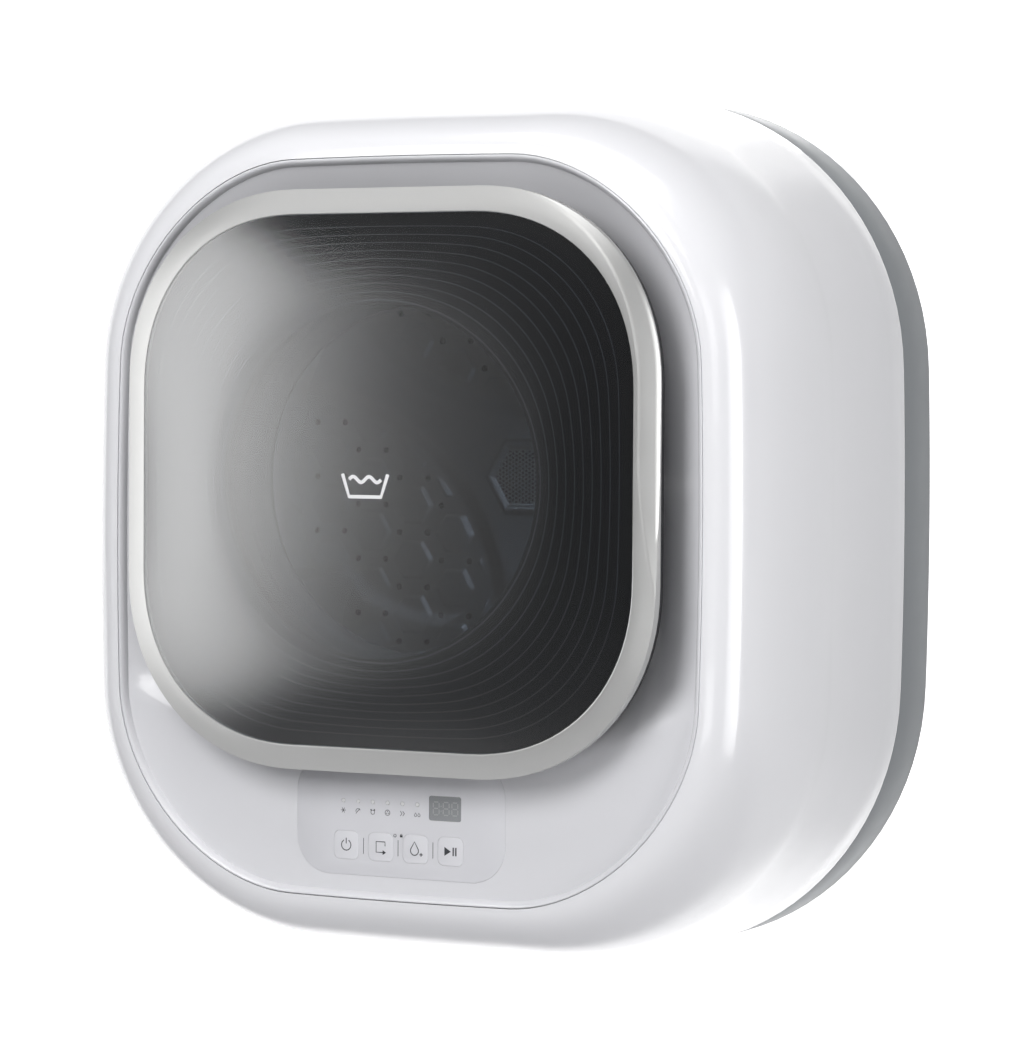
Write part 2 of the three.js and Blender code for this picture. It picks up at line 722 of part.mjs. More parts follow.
// The glass bulges from a rounded square edge to a nearly flat round middle.
function glassSections(edgeDepth) {
  const edge = outline(GLASS);
  const middle = circle(DOME_FLAT_RADIUS);
  const rows = [];
  for (let i = 0; i <= 3; i++) {
    const share = i / 3;
    rows.push([edgeDepth + DOME_HEIGHT * (1 - (1 - share) ** 1.8), blendOutlines(edge, middle, share)]);
  }
  rows.push([edgeDepth + DOME_HEIGHT + 0.9, circle(DOME_FLAT_RADIUS / 2)]);
  return rows;
}

function doorGlass() {
  return loft([...glassSections(GLASS_EDGE_DEPTH).reverse(), ...glassSections(GLASS_EDGE_DEPTH - WALL)]);
}

function doorRing() {
  const front = GLASS_EDGE_DEPTH - 0.2;
  const shelf = GLASS_EDGE_DEPTH - WALL - GAP;
  return loft([
    [front, doorOutline(GLASS, -0.4)],
    [RING_DEPTH, doorOutline(RING, 0)],
    [DOOR_FRONT + GAP, doorOutline(RING, 0)],
    [DOOR_FRONT + GAP, doorOutline(GLASS, 6)],
    [shelf, doorOutline(GLASS, 6)],
    [shelf, doorOutline(GLASS, -0.4)],
  ], true);
}

function doorFrame() {
  const block = loft([[DOOR_BACK, doorOutline(RING, 3.5)], [DOOR_FRONT, doorOutline(RING, 2)]]);
  const port = rod(124, 260, 300, ROUND_STEPS);
  const rebate = rod(134.4, 260, 276, ROUND_STEPS);
  const notches = [-1, 1].map((side) => {
    const middle = side * HINGE_LUG_OFFSET;
    const reach = HINGE_LUG_HEIGHT / 2 + 0.5;
    return box([-202, 260, middle - reach], [-176, 300, middle + reach]);
  });
  const bore = post(3.3, -52, 52, HINGE_X, HINGE_DEPTH, 16);
  const hookSlot = box([150, 260, -5], [178, 300, 5]);
  return cut(block, port, rebate, ...notches, bore, hookSlot);
}

function doorBowl() {
  return revolve([
    [0, 202], [95, 202], [107, 207], [112, 218], [118, 272.3], [134, 272.3], [134, 275.7],
    [114, 275.7], [108.3, 220], [104, 211], [93, 206], [0, 206],
  ]);
}

// A plate on the recess floor with two lugs that reach the hinge line.
function hingeBracket() {
  const base = box([-178, RECESS_DEPTH + GAP, AXIS_Z - 50], [-151, 248, AXIS_Z + 50]);
  const lugs = [-1, 1].map((side) => {
    const shape = new THREE.Shape();
    shape.moveTo(-177.5, 247);
    shape.lineTo(-160, 247);
    shape.lineTo(HINGE_X + 5, HINGE_DEPTH);
    shape.absarc(HINGE_X, HINGE_DEPTH, 5, 0, Math.PI);
    const options = { depth: HINGE_LUG_HEIGHT, bevelEnabled: false, curveSegments: 6 };
    const lug = new THREE.ExtrudeGeometry(shape, options).scale(1, -1, 1);
    return clean(lug.translate(0, 0, AXIS_Z + side * HINGE_LUG_OFFSET - HINGE_LUG_HEIGHT / 2));
  });
  return cut(join(base, ...lugs), post(3.3, AXIS_Z - 60, AXIS_Z + 60, HINGE_X, HINGE_DEPTH, 16));
}

function hingePin() {
  return post(3, AXIS_Z - 50, AXIS_Z + 50, HINGE_X, HINGE_DEPTH, 16);
}

// The hook that holds the door shut: an eye on its pivot, an arm and a barb.
function latchHook() {
  const shape = new THREE.Shape();
  shape.moveTo(-5, 0);
  shape.absarc(0, 0, 5, Math.PI, 0, true);
  shape.lineTo(3.5, -32);
  shape.lineTo(9, -34);
  shape.lineTo(3, -42);
  shape.lineTo(-3.5, -42);
  const options = { depth: 8, bevelEnabled: false, curveSegments: 6 };
  return clean(new THREE.ExtrudeGeometry(shape, options).scale(1, -1, 1).translate(0, 0, -4));
}

// The lock behind the recess floor: a box with a wide mouth for the hook.
function doorLock() {
  const body = box([146, 216, AXIS_Z - 22], [184, RECESS_DEPTH - WALL - GAP, AXIS_Z + 22]);
  return cut(body, box([151, 221, AXIS_Z - 8], [179, 250, AXIS_Z + 8]));
}

// ---------------------------------------------------------------- assembly

function casingGroup() {
  const group = new THREE.Group();
  group.add(
    piece('rear_frame', rearFrame(), 'grey'),
    piece('front_shell', frontShell(), 'white'),
    piece('front_panel', frontPanel(), 'white'),
    piece('control_overlay', controlOverlay(), 'white'),
    at(piece('display_window', displayWindow(), 'dark'), DISPLAY.x, 0, DISPLAY.z),
    piece('led_light_guide', lightGuide(), 'clear'),
    piece('display_board', displayBoard(), 'board'),
    piece('inlet_valve', inletValve(), 'white'),
    piece('inlet_hose', inletHose(), 'rubber'),
    piece('dispenser_cup', dispenserCup(), 'white'),
    piece('sump_hose', sumpHose(), 'rubber'),
    piece('drain_pump', drainPump(), 'tub'),
    piece('drain_hose', drainHose(), 'rubber'),
    piece('pressure_switch', pressureSwitch(), 'tub'),
    piece('control_box', controlBox(), 'tub'),
    piece('main_board', mainBoard(), 'board'),
    piece('power_gland', powerGland(), 'dark'),
    piece('hinge_bracket', hingeBracket(), 'steel'),
    piece('hinge_pin', hingePin(), 'steel'),
    piece('door_lock', doorLock(), 'dark'),
  );
  const names = ['power', 'course', 'rinse', 'start'];
  buttonXs().forEach((x, i) => {
    group.add(at(piece(`button_${names[i]}`, button(), 'white'), x, 0, BUTTON.z));
  });
  quarters(WALL_BOLT.x, WALL_BOLT.z).forEach(([x, z], i) => {
    group.add(at(piece(`wall_bush_${i + 1}`, wallBush(), 'rubber'), x, 0, z));
  });
  quarters(CASE_SCREW.x, CASE_SCREW.z).forEach(([x, z], i) => {
    group.add(at(piece(`case_screw_${i + 1}`, caseScrew(), 'steel'), x, 0, z));
  });
  group.add(at(piece('pump_impeller', pumpImpeller(), 'tub'), PUMP.x, 0, PUMP.z));
  return group;
}

function tubGroup() {
  const group = new THREE.Group();
  group.position.z = AXIS_Z;
  group.add(
    piece('tub_rear', tubRear(), 'tub'),
    piece('tub_front', tubFront(), 'tub'),
    piece('gasket', gasket(), 'rubber'),
    piece('gasket_clamp', gasketClamp(), 'steel'),
    piece('rear_bearing', bearing(22), 'steel'),
    piece('front_bearing', bearing(46), 'steel'),
    piece('shaft_seal', shaftSeal(), 'dark'),
    piece('stator', stator(), 'copper'),
  );
  quarters(TUB_MOUNT, TUB_MOUNT).forEach(([x, z], i) => {
    group.add(at(piece(`tub_mount_${i + 1}`, tubMount(), 'dark'), x, 0, z));
  });
  return group;
}

function drumGroup() {
  const group = new THREE.Group();
  group.position.z = AXIS_Z;
  group.add(
    piece('drum_shell', drumShell(), 'steel'),
    piece('drum_back', drumBack(), 'steel'),
    piece('drum_spider', drumSpider(), 'silver'),
    piece('drum_shaft', drumShaft(), 'steel'),
    piece('rotor', rotor(), 'grey'),
    piece('rotor_nut', rotorNut(), 'steel'),
  );
  for (let i = 0; i < 3; i++) {
    const mesh = piece(`lifter_${i + 1}`, lifter(), 'grey');
    mesh.rotation.y = (2 * Math.PI * i) / 3;
    group.add(mesh);
  }
  return group;
}

function doorGroup() {
  const group = new THREE.Group();
  group.position.z = AXIS_Z;
  group.add(
    piece('door_glass', doorGlass(), 'glass'),
    piece('door_ring', doorRing(), 'silver'),
    piece('door_frame', doorFrame(), 'dark'),
    piece('door_bowl', doorBowl(), 'clear'),
    at(piece('latch_hook', latchHook(), 'steel'), 164, 278, 0),
  );
  return group;
}

const machine = new THREE.Group();
machine.add(casingGroup(), tubGroup(), drumGroup(), doorGroup());

export default machine;
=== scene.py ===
"""A wall-hung mini drum washer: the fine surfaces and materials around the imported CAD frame.

The washer's lengths are in millimetres, and "depth" is the distance out from the wall, so y = -depth.
place() turns them into the metres of the frame. The lamps, the floor and the backdrop are in metres.
"""

import json
import math

import bmesh
import bpy
from mathutils import Matrix, Vector


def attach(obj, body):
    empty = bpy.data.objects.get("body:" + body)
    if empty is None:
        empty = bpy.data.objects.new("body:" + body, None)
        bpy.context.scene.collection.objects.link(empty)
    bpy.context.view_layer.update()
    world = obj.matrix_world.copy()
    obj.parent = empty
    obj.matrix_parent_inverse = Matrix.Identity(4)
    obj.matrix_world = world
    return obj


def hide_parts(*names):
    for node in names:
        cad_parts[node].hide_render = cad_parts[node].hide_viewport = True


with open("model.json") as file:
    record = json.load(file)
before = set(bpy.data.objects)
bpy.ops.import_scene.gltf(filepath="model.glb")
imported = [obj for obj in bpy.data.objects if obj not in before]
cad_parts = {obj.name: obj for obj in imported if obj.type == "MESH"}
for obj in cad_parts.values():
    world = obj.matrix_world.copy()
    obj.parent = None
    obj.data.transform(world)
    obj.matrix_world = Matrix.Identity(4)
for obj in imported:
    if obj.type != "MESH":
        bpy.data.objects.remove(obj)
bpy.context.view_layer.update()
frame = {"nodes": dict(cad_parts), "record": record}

MM = 0.001
COS_30 = 0.866
SHARP_ANGLE = 35
TINY = 0.01  # stands for a radius or an edge of 0, where points would meet

AXIS_Z = 33  # the height of the drum's axis

# Outlines seen from the front: half width, half height, corner size, the corners' power (2 is round),
# how far the sides and the top draw in at the corners, and the height of the middle.
CASE = dict(a=275, b=300, corner=188.1, power=2.11, side=0.04, top=0.02)
SEAM = dict(a=221.6, b=249.15, corner=134.7, power=1.92, side=0.04, top=0.02, z=0.4)
GLASS = dict(a=183.1, b=177, corner=117.7, power=2.19, z=AXIS_Z)
RING = dict(a=198.4, b=194.1, corner=129.4, power=2.1, z=AXIS_Z)
CORNER_SHRINK = 0.96  # how fast a casing corner gets smaller as the outline moves in
CORNER_STEPS = 22
SIDE_STEPS = 7

WALL = 3  # the thickness of the casing, the panel and the glass
GAP = 0.3  # the seam between two parts of the casing
REAR_DEPTH = 48.9  # the rear frame's front edge
TAPER_DEPTH = 156.2  # where the sides stop tapering and the soft front edge starts
TAPER_INSET = 7.8
FILLET_POWER = 2.02
RIM_DEPTH = 270.5  # the front of the casing and of the panel's rim
LAND_DEPTH = 266  # the land that carries the controls
RECESS_DEPTH = 245  # the floor behind the door
PORT_RADIUS = 140
GLASS_EDGE = 296
DOME_HEIGHT = 7.5
DOME_RADIUS = 120
CROWN_HEIGHT = 0.8
RING_DEPTH = 291.7
DOOR_FRONT = 283.7
DOOR_BACK = 272
HINGE = (-190, 277.75)  # x and depth of the pin
DRUM_RADIUS = 190
DRUM_INSIDE = 188
DRUM_BACK = 76.3


# ---- curves


def outline(shape, inset=0.0, shrink=1.0):
    """A square with rounded corners and bowed sides, as (x, z) points from the middle of its right side."""
    a = shape["a"] - inset
    b = shape["b"] - inset
    r = shape["corner"] - shrink * inset
    n = 2 / shape["power"]
    quarter = [(a, (b - r) * i / SIDE_STEPS) for i in range(SIDE_STEPS)]
    for i in range(CORNER_STEPS + 1):
        turn = 0.5 * math.pi * i / CORNER_STEPS
        quarter.append((a - r + r * abs(math.cos(turn)) ** n, b - r + r * math.sin(turn) ** n))
    quarter += [((a - r) * (1 - i / SIDE_STEPS), b) for i in range(1, SIDE_STEPS)]
    mirrored = quarter[:0:-1]
    points = quarter + [(0, b)] + [(-x, z) for x, z in mirrored]
    points += [(-x, -z) for x, z in quarter] + [(0, -b)] + [(x, -z) for x, z in mirrored]
    side = shape.get("side", 0)
    top = shape.get("top", 0)
    middle = shape.get("z", 0)
    return [(x * (1 - side * (z / b) ** 2), z * (1 - top * (x / a) ** 2) + middle) for x, z in points]


COUNT = len(outline(CASE))


def circle(radius, z=AXIS_Z, count=COUNT):
    turns = [2 * math.pi * i / count for i in range(count)]
    return [(radius * math.cos(t), radius * math.sin(t) + z) for t in turns]


def mix(first, second, share):
    """Goes a share of the way from the first points to the second."""
    return [(p[0] + (q[0] - p[0]) * share, p[1] + (q[1] - p[1]) * share) for p, q in zip(first, second)]


def smooth(value, low, high):
    """Rises smoothly from 0 to 1 while the value goes from low to high."""
    share = min(max((value - low) / (high - low), 0), 1)
    return share * share * (3 - 2 * share)


def level(points, depth):
    """Puts (x, z) points at a depth, which is a number or a function of x and z."""
    if callable(depth):
        return [(x, depth(x, z), z) for x, z in points]
    return [(x, depth, z) for x, z in points]


def shifted(points, x, z):
    return [(px + x, pz + z) for px, pz in points]


def polar(x, z, radius, angle):
    turn = math.radians(angle)
    return (x + radius * math.cos(turn), z + radius * math.sin(turn))


def arc(x, z, radius, start, end, count=20):
    return [polar(x, z, radius, start + (end - start) * i / count) for i in range(count + 1)]


def rounded(profile, radius, steps=4):
    """Rounds each corner of a closed (radius, depth) profile by an arc that touches both sides."""
    points = []
    for i, corner in enumerate(profile):
        here = Vector(corner)
        back = Vector(profile[i - 1]) - here
        on = Vector(profile[(i + 1) % len(profile)]) - here
        reach = min(radius, 0.45 * back.length, 0.45 * on.length)
        start = here + back.normalized() * reach
        end = here + on.normalized() * reach
        for k in range(steps + 1):
            t = k / steps
            points.append(tuple((1 - t) ** 2 * start + 2 * t * (1 - t) * here + t * t * end))
    return points


def quarters(x, z):
    return [(x, z), (-x, z), (-x, -z), (x, -z)]


def rounded_square(width, height, corner, steps=10):
    points = []
    across = width / 2 - corner
    up = height / 2 - corner
    for quarter, (x, z) in enumerate(quarters(across, up)):
        points += arc(x, z, corner, 90 * quarter, 90 * (quarter + 1), steps)
    return points


# ---- meshes


def place(point):
    """Turns (x, depth, z) in millimetres into a point of the frame."""
    x, depth, z = point
    return Vector((x, -depth, z)) * MM


def add_object(name, data):
    piece = bpy.data.objects.new(name, data)
    bpy.context.scene.collection.objects.link(piece)
    return piece


def shade(mesh, sharp):
    """Shades a mesh smoothly, apart from the edges that turn by more than an angle in degrees."""
    for face in mesh.polygons:
        face.use_smooth = True
    mesh.set_sharp_from_angle(angle=math.radians(sharp))


def from_bmesh(name, bm, sharp=SHARP_ANGLE):
    """Turns a bmesh into an object. Where sharp is None its faces are shaded flat."""
    bmesh.ops.recalc_face_normals(bm, faces=bm.faces)
    mesh = bpy.data.meshes.new(name)
    bm.to_mesh(mesh)
    bm.free()
    if sharp is not None:
        shade(mesh, sharp)
    return add_object(name, mesh)


def skin(bm, rows, closed):
    """Joins rows of points with faces. An open row of sections is shut by a cap at each end."""
    layers = [[bm.verts.new(place(point)) for point in row] for row in rows]
    count = len(rows[0])
    pairs = list(zip(layers, layers[1:])) + ([(layers[-1], layers[0])] if closed else [])
    for near, far in pairs:
        for i in range(count):
            bm.faces.new((near[i], near[(i + 1) % count], far[(i + 1) % count], far[i]))
    if not closed:
        bm.faces.new(layers[0])
        bm.faces.new(layers[-1])
    return layers


def loft(name, rows, closed=True, sharp=SHARP_ANGLE):
    bm = bmesh.new()
    skin(bm, rows, closed)
    return from_bmesh(name, bm, sharp)


def lathe(name, profile, count=144, sharp=SHARP_ANGLE):
    """Turns a (radius, depth) profile about the drum's axis. From radius 0 it makes a full body."""
    rows = [level(circle(max(radius, TINY), AXIS_Z, count), depth) for radius, depth in profile]
    return loft(name, rows, profile[0][0] > 0, sharp)


def plate(name, points, back, front, edge=0.3):
    """A flat piece with an outline, and its front edge rounded."""
    x = sum(p[0] for p in points) / len(points)
    z = sum(p[1] for p in points) / len(points)
    half = max(p[0] for p in points) - x

    def shrunk(amount):
        scale = 1 - amount / half
        return [(x + (px - x) * scale, z + (pz - z) * scale) for px, pz in points]

    rows = [level(points, back), level(points, front - edge)]
    rows += [level(shrunk(edge * 0.3), front - edge * 0.3), level(shrunk(edge), front)]
    return loft(name, rows, False, 40)


def punch(points, back, front):
    """A cutter with an outline."""
    return plate("cutter", points, back, front, TINY)


def block(low, high):
    """A box-shaped cutter."""
    bm = bmesh.new()
    bmesh.ops.create_cube(bm, size=1)
    size = place(high) - place(low)
    middle = (place(high) + place(low)) / 2
    for vert in bm.verts:
        vert.co = Vector((vert.co.x * size.x, vert.co.y * size.y, vert.co.z * size.z)) + middle
    return from_bmesh("cutter", bm)


def pin_z(radius, bottom, top, x, depth, count=32):
    """An upright pin that cuts or is joined on."""
    spots = circle(radius, depth, count)
    return loft("cutter", [[(x + px, d, z) for px, d in spots] for z in (bottom, top)], False)


def pin_y(radius, back, front, x, z, count=32):
    """A pin square to the wall that cuts or is joined on."""
    points = shifted(circle(radius, 0, count), x, z)
    return loft("cutter", [level(points, back), level(points, front)], False)


def combine(piece, cutters, operation="DIFFERENCE"):
    """Cuts or joins other solids into a piece, and removes them."""
    for cutter in cutters:
        modifier = piece.modifiers.new("combine", "BOOLEAN")
        modifier.operation = operation
        modifier.solver = "EXACT"
        modifier.object = cutter
    bpy.context.view_layer.update()
    evaluated = piece.evaluated_get(bpy.context.evaluated_depsgraph_get())
    mesh = bpy.data.meshes.new_from_object(evaluated)
    piece.modifiers.clear()
    piece.data = mesh
    for cutter in cutters:
        bpy.data.objects.remove(cutter)
    shade(mesh, SHARP_ANGLE)


# ---- materials


class Nodes:
    """A material's node tree, with its Principled shader."""

    def __init__(self, name, color, roughness, **values):
        self.material = bpy.data.materials.new(name)
        self.material.use_nodes = True
        self.tree = self.material.node_tree
        self.shader = self.tree.nodes["Principled BSDF"]
        self.shader.inputs["Base Color"].default_value = (*color, 1)
        self.shader.inputs["Roughness"].default_value = roughness
        for key, value in values.items():
            self.shader.inputs[key.replace("_", " ")].default_value = value

    def add(self, kind, **values):
        node = self.tree.nodes.new(f"ShaderNode{kind}")
        for key, value in values.items():
            setattr(node, key, value)
        return node

    def link(self, source, target):
        self.tree.links.new(source, target)

    def coords(self, scale=(1, 1, 1)):
        mapping = self.add("Mapping")
        mapping.inputs["Scale"].default_value = scale
        self.link(self.add("TexCoord").outputs["Object"], mapping.inputs["Vector"])
        return mapping.outputs["Vector"]

    def texture(self, kind, scale, stretch=(1, 1, 1), **values):
        node = self.add(f"Tex{kind}", **values)
        node.inputs["Scale"].default_value = scale
        self.link(self.coords(stretch), node.inputs["Vector"])
        return node

    def noise(self, scale, detail=3, stretch=(1, 1, 1)):
        node = self.texture("Noise", scale, stretch)
        node.inputs["Detail"].default_value = detail
        return node.outputs["Fac"]

    def math(self, operation, *values):
        node = self.add("Math", operation=operation)
        for socket, value in zip(node.inputs, values):
            if isinstance(value, (int, float)):
                socket.default_value = value
            else:
                self.link(value, socket)
        return node.outputs[0]

    def spread(self, fac, low, high, start=0.0, end=1.0, kind="LINEAR"):
        """Goes from low to high while a value goes from start to end."""
        node = self.add("MapRange", interpolation_type=kind)
        for key, value in (("From Min", start), ("From Max", end), ("To Min", low), ("To Max", high)):
            node.inputs[key].default_value = value
        self.link(fac, node.inputs["Value"])
        return node.outputs["Result"]

    def blend(self, fac, first, second):
        """Mixes two colours. Both colour inputs have the same names as others, so they go by number."""
        node = self.add("Mix", data_type="RGBA")
        node.inputs[6].default_value = (*first, 1)
        node.inputs[7].default_value = (*second, 1)
        self.link(fac, node.inputs[0])
        return node.outputs[2]

    def color(self, socket):
        self.link(socket, self.shader.inputs["Base Color"])

    def roughness(self, fac, low, high):
        self.link(self.spread(fac, low, high), self.shader.inputs["Roughness"])

    def bump(self, height, strength, distance):
        node = self.add("Bump")
        node.inputs["Strength"].default_value = strength
        node.inputs["Distance"].default_value = distance * MM
        self.link(height, node.inputs["Height"])
        self.link(node.outputs["Normal"], self.shader.inputs["Normal"])


def darker(color, share):
    return tuple(c * share for c in color)


def white_plastic(name, color, roughness):
    """Glossy moulded plastic with a clear coat, hardly clouded."""
    nodes = Nodes(name, color, roughness, Coat_Weight=0.6, Coat_Roughness=0.04, IOR=1.5)
    nodes.color(nodes.blend(nodes.noise(9, 2), darker(color, 0.985), color))
    nodes.roughness(nodes.noise(40), roughness - 0.03, roughness + 0.05)
    nodes.bump(nodes.noise(700, 2), 0.05, 0.02)
    return nodes.material


def satin_plastic(name, color, roughness, grain=1500):
    """Moulded plastic with a fine grain."""
    nodes = Nodes(name, color, roughness, IOR=1.48)
    nodes.color(nodes.blend(nodes.noise(12), darker(color, 0.93), color))
    nodes.roughness(nodes.noise(60), roughness - 0.05, roughness + 0.08)
    nodes.bump(nodes.noise(grain, 2), 0.18, 0.06)
    return nodes.material


def rubber(name, color):
    nodes = Nodes(name, color, 0.62, IOR=1.45)
    nodes.color(nodes.blend(nodes.noise(30, 4), darker(color, 0.85), color))
    nodes.roughness(nodes.noise(120), 0.52, 0.75)
    nodes.bump(nodes.noise(900), 0.25, 0.08)
    return nodes.material


def brushed(name, color, roughness, stretch):
    """Metal with fine lines across the stretch."""
    nodes = Nodes(name, color, roughness, Metallic=1.0)
    lines = nodes.noise(300, 4, stretch)
    nodes.color(nodes.blend(lines, darker(color, 0.88), color))
    nodes.roughness(lines, roughness - 0.06, roughness + 0.1)
    nodes.bump(lines, 0.12, 0.05)
    return nodes.material


def silver_paint(name):
    """A satin silver coat on plastic: part metal flakes, part pale base."""
    nodes = Nodes(name, (0.62, 0.62, 0.61), 0.36, Metallic=0.6, IOR=1.5)
    grain = nodes.noise(2600, 2)
    nodes.color(nodes.blend(grain, (0.6, 0.6, 0.592), (0.65, 0.65, 0.64)))
    nodes.roughness(nodes.noise(50), 0.32, 0.42)
    nodes.bump(grain, 0.06, 0.03)
    return nodes.material


def cast_metal(name, color):
    nodes = Nodes(name, color, 0.5, Metallic=1.0)
    nodes.color(nodes.blend(nodes.noise(60, 5), darker(color, 0.8), color))
    nodes.roughness(nodes.noise(90, 4), 0.4, 0.65)
    nodes.bump(nodes.noise(400, 4), 0.3, 0.2)
    return nodes.material


def circuit_board(name):
    """Green lacquer over a pattern of copper tracks."""
    nodes = Nodes(name, (0.02, 0.1, 0.05), 0.4, IOR=1.5)
    tracks = nodes.texture("Brick", 180)
    tracks.inputs["Mortar Size"].default_value = 0.03
    nodes.color(nodes.blend(tracks.outputs["Fac"], (0.015, 0.09, 0.04), (0.05, 0.2, 0.1)))
    nodes.roughness(nodes.noise(200, 2), 0.3, 0.5)
    return nodes.material


def copper(name):
    """Enamelled wire, wound in rings."""
    nodes = Nodes(name, (0.6, 0.25, 0.12), 0.35, Metallic=1.0)
    wires = nodes.texture("Wave", 400, wave_type="RINGS", rings_direction="Y").outputs["Fac"]
    nodes.color(nodes.blend(wires, (0.35, 0.13, 0.06), (0.65, 0.28, 0.14)))
    nodes.bump(wires, 0.4, 0.3)
    return nodes.material


def thin_glass(name, tint, gloss_roughness, ior=1.5):
    """Glass thin enough to pass light straight through: a tint, and a mirror that grows at low angles."""
    nodes = Nodes(name, (0, 0, 0), gloss_roughness)
    clear = nodes.add("BsdfTransparent")
    clear.inputs["Color"].default_value = (*tint, 1)
    shine = nodes.add("BsdfGlossy")
    smudges = nodes.spread(nodes.noise(7), gloss_roughness - 0.02, gloss_roughness + 0.03)
    nodes.link(smudges, shine.inputs["Roughness"])
    fresnel = nodes.add("Fresnel")
    fresnel.inputs["IOR"].default_value = ior
    outside = nodes.math("SUBTRACT", 1, nodes.add("NewGeometry").outputs["Backfacing"])
    both = nodes.add("MixShader")
    nodes.link(nodes.math("MULTIPLY", fresnel.outputs[0], outside), both.inputs[0])
    nodes.link(clear.outputs[0], both.inputs[1])
    nodes.link(shine.outputs[0], both.inputs[2])
    nodes.tree.nodes.remove(nodes.shader)
    nodes.link(both.outputs[0], nodes.tree.nodes["Material Output"].inputs["Surface"])
    return nodes.material


# The printed rings of the door glass, in shares of the way from its edge to its round middle.
FIRST_LINE = 0.152
LINE_PITCH = 0.0942
LINE_COUNT = 10
LINE_HALF_WIDTH = 0.055  # in pitches


def printed_glass():
    dark = (0.01, 0.0103, 0.012)
    nodes = Nodes("door_print", dark, 0.3, IOR=1.45)
    share = nodes.add("Attribute", attribute_name="share").outputs["Fac"]
    steps = nodes.math("DIVIDE", nodes.math("SUBTRACT", share, FIRST_LINE), LINE_PITCH)
    nearest = nodes.math("ROUND", steps)
    off = nodes.math("ABSOLUTE", nodes.math("SUBTRACT", steps, nearest))
    thin = nodes.math("LESS_THAN", off, LINE_HALF_WIDTH)
    inside = nodes.math("GREATER_THAN", nearest, -0.5)
    outside = nodes.math("LESS_THAN", nearest, LINE_COUNT - 0.5)
    line = nodes.math("MULTIPLY", thin, nodes.math("MULTIPLY", inside, outside))
    nodes.color(nodes.blend(line, dark, (0.2, 0.203, 0.21)))
    nodes.roughness(nodes.noise(50, 2), 0.25, 0.35)
    return nodes.material


def display_plastic():
    nodes = Nodes("display_window", (0.3, 0.31, 0.32), 0.12, IOR=1.5)
    weave = nodes.texture("Checker", 1800).outputs["Fac"]
    nodes.color(nodes.blend(weave, (0.27, 0.28, 0.29), (0.33, 0.34, 0.35)))
    nodes.roughness(nodes.noise(50, 2), 0.1, 0.18)
    return nodes.material


def floor_paint():
    nodes = Nodes("floor", (0.8, 0.8, 0.81), 0.8)
    nodes.color(nodes.blend(nodes.noise(0.7, 2), (0.79, 0.79, 0.8), (0.81, 0.81, 0.82)))
    split = nodes.add("SeparateXYZ")
    nodes.link(nodes.coords(), split.inputs[0])
    behind = nodes.spread(split.outputs["Y"], 0, 1, *SHINE_Y, "SMOOTHSTEP")
    right = nodes.spread(split.outputs["X"], 1, DIM_SHINE, *DIM_X, "SMOOTHSTEP")
    nodes.link(nodes.math("MULTIPLY", behind, right), nodes.shader.inputs["Emission Strength"])
    nodes.shader.inputs["Emission Color"].default_value = (1, 1, 1, 1)
    return nodes.material


# How the material of each of the record's slots is made.
RECIPES = {
    "white_shell": (white_plastic, (0.84, 0.84, 0.865), 0.2),
    "white_panel": (white_plastic, (0.82, 0.82, 0.85), 0.3),
    "control_film": (satin_plastic, (0.775, 0.775, 0.81), 0.32, 2500),
    "rear_grey": (satin_plastic, (0.275, 0.293, 0.308), 0.4),
    "dark_plastic": (satin_plastic, (0.011, 0.011, 0.013), 0.42),
    "tub_plastic": (satin_plastic, (0.5, 0.51, 0.53), 0.5),
    "light_guide": (white_plastic, (0.9, 0.9, 0.9), 0.15),
    "circuit_board": (circuit_board,),
    "grey_rubber": (rubber, (0.19, 0.195, 0.2)),
    "black_rubber": (rubber, (0.02, 0.02, 0.022)),
    "drum_steel": (brushed, (0.62, 0.63, 0.65), 0.3, (1, 0.03, 1)),
    "zinc_steel": (brushed, (0.55, 0.55, 0.53), 0.34, (1, 1, 0.1)),
    "cast_aluminium": (cast_metal, (0.6, 0.6, 0.61)),
    "ring_silver": (silver_paint,),
    "copper_winding": (copper,),
    "door_glass": (thin_glass, (0.6, 0.62, 0.65), 0.245, 2.2),
    "bowl_glass": (thin_glass, (0.93, 0.95, 0.96), 0.03),
}
MATERIALS = {slot: make(slot, *values) for slot, (make, *values) in RECIPES.items()}
MATERIALS["smoked_window"] = display_plastic()
PRINT = printed_glass()
MARK = satin_plastic("mark_print", (0.05, 0.052, 0.06), 0.5)
PALE_MARK = satin_plastic("pale_print", (0.85, 0.85, 0.86), 0.5)
DIGIT_MARK = satin_plastic("digit_print", (0.39, 0.4, 0.41), 0.4)


def finish_piece(piece, body, slot, replaced=(), material=None):
    """Gives a piece its material, the slot's own unless another is given, and its body, and hides the CAD
    nodes that it stands for.
    """
    piece.data.materials.clear()
    piece.data.materials.append(material or MATERIALS[slot])
    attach(piece, body)
    if replaced:
        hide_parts(*replaced)


# ---- camera, lights and floor

CAMERA_AZIMUTH = 26.68  # degrees to the right of straight in front
CAMERA_ELEVATION = 1.91
CAMERA_ROLL = -0.39
CAMERA_DISTANCE = 2641.2
CAMERA_TARGET = (25.04, 146, -1.11)
FOCAL_LENGTH = 129.97
SENSOR_WIDTH = 36

FLOOR_Z = -1.3
FLOOR_FRONT = -20
FLOOR_HALF_WIDTH = 25
BACKDROP_Y = 4.2
BACKDROP_TOP = 5
SWEEP_RADIUS = 1.2
SWEEP_STEPS = 12
SHINE_Y = (0.5, 1.1)  # where, behind the washer, the floor starts to shine and shines fully
DIM_X = (0.15, 0.9)  # where, towards the right, its shine falls to a share of the full one
DIM_SHINE = 0.4


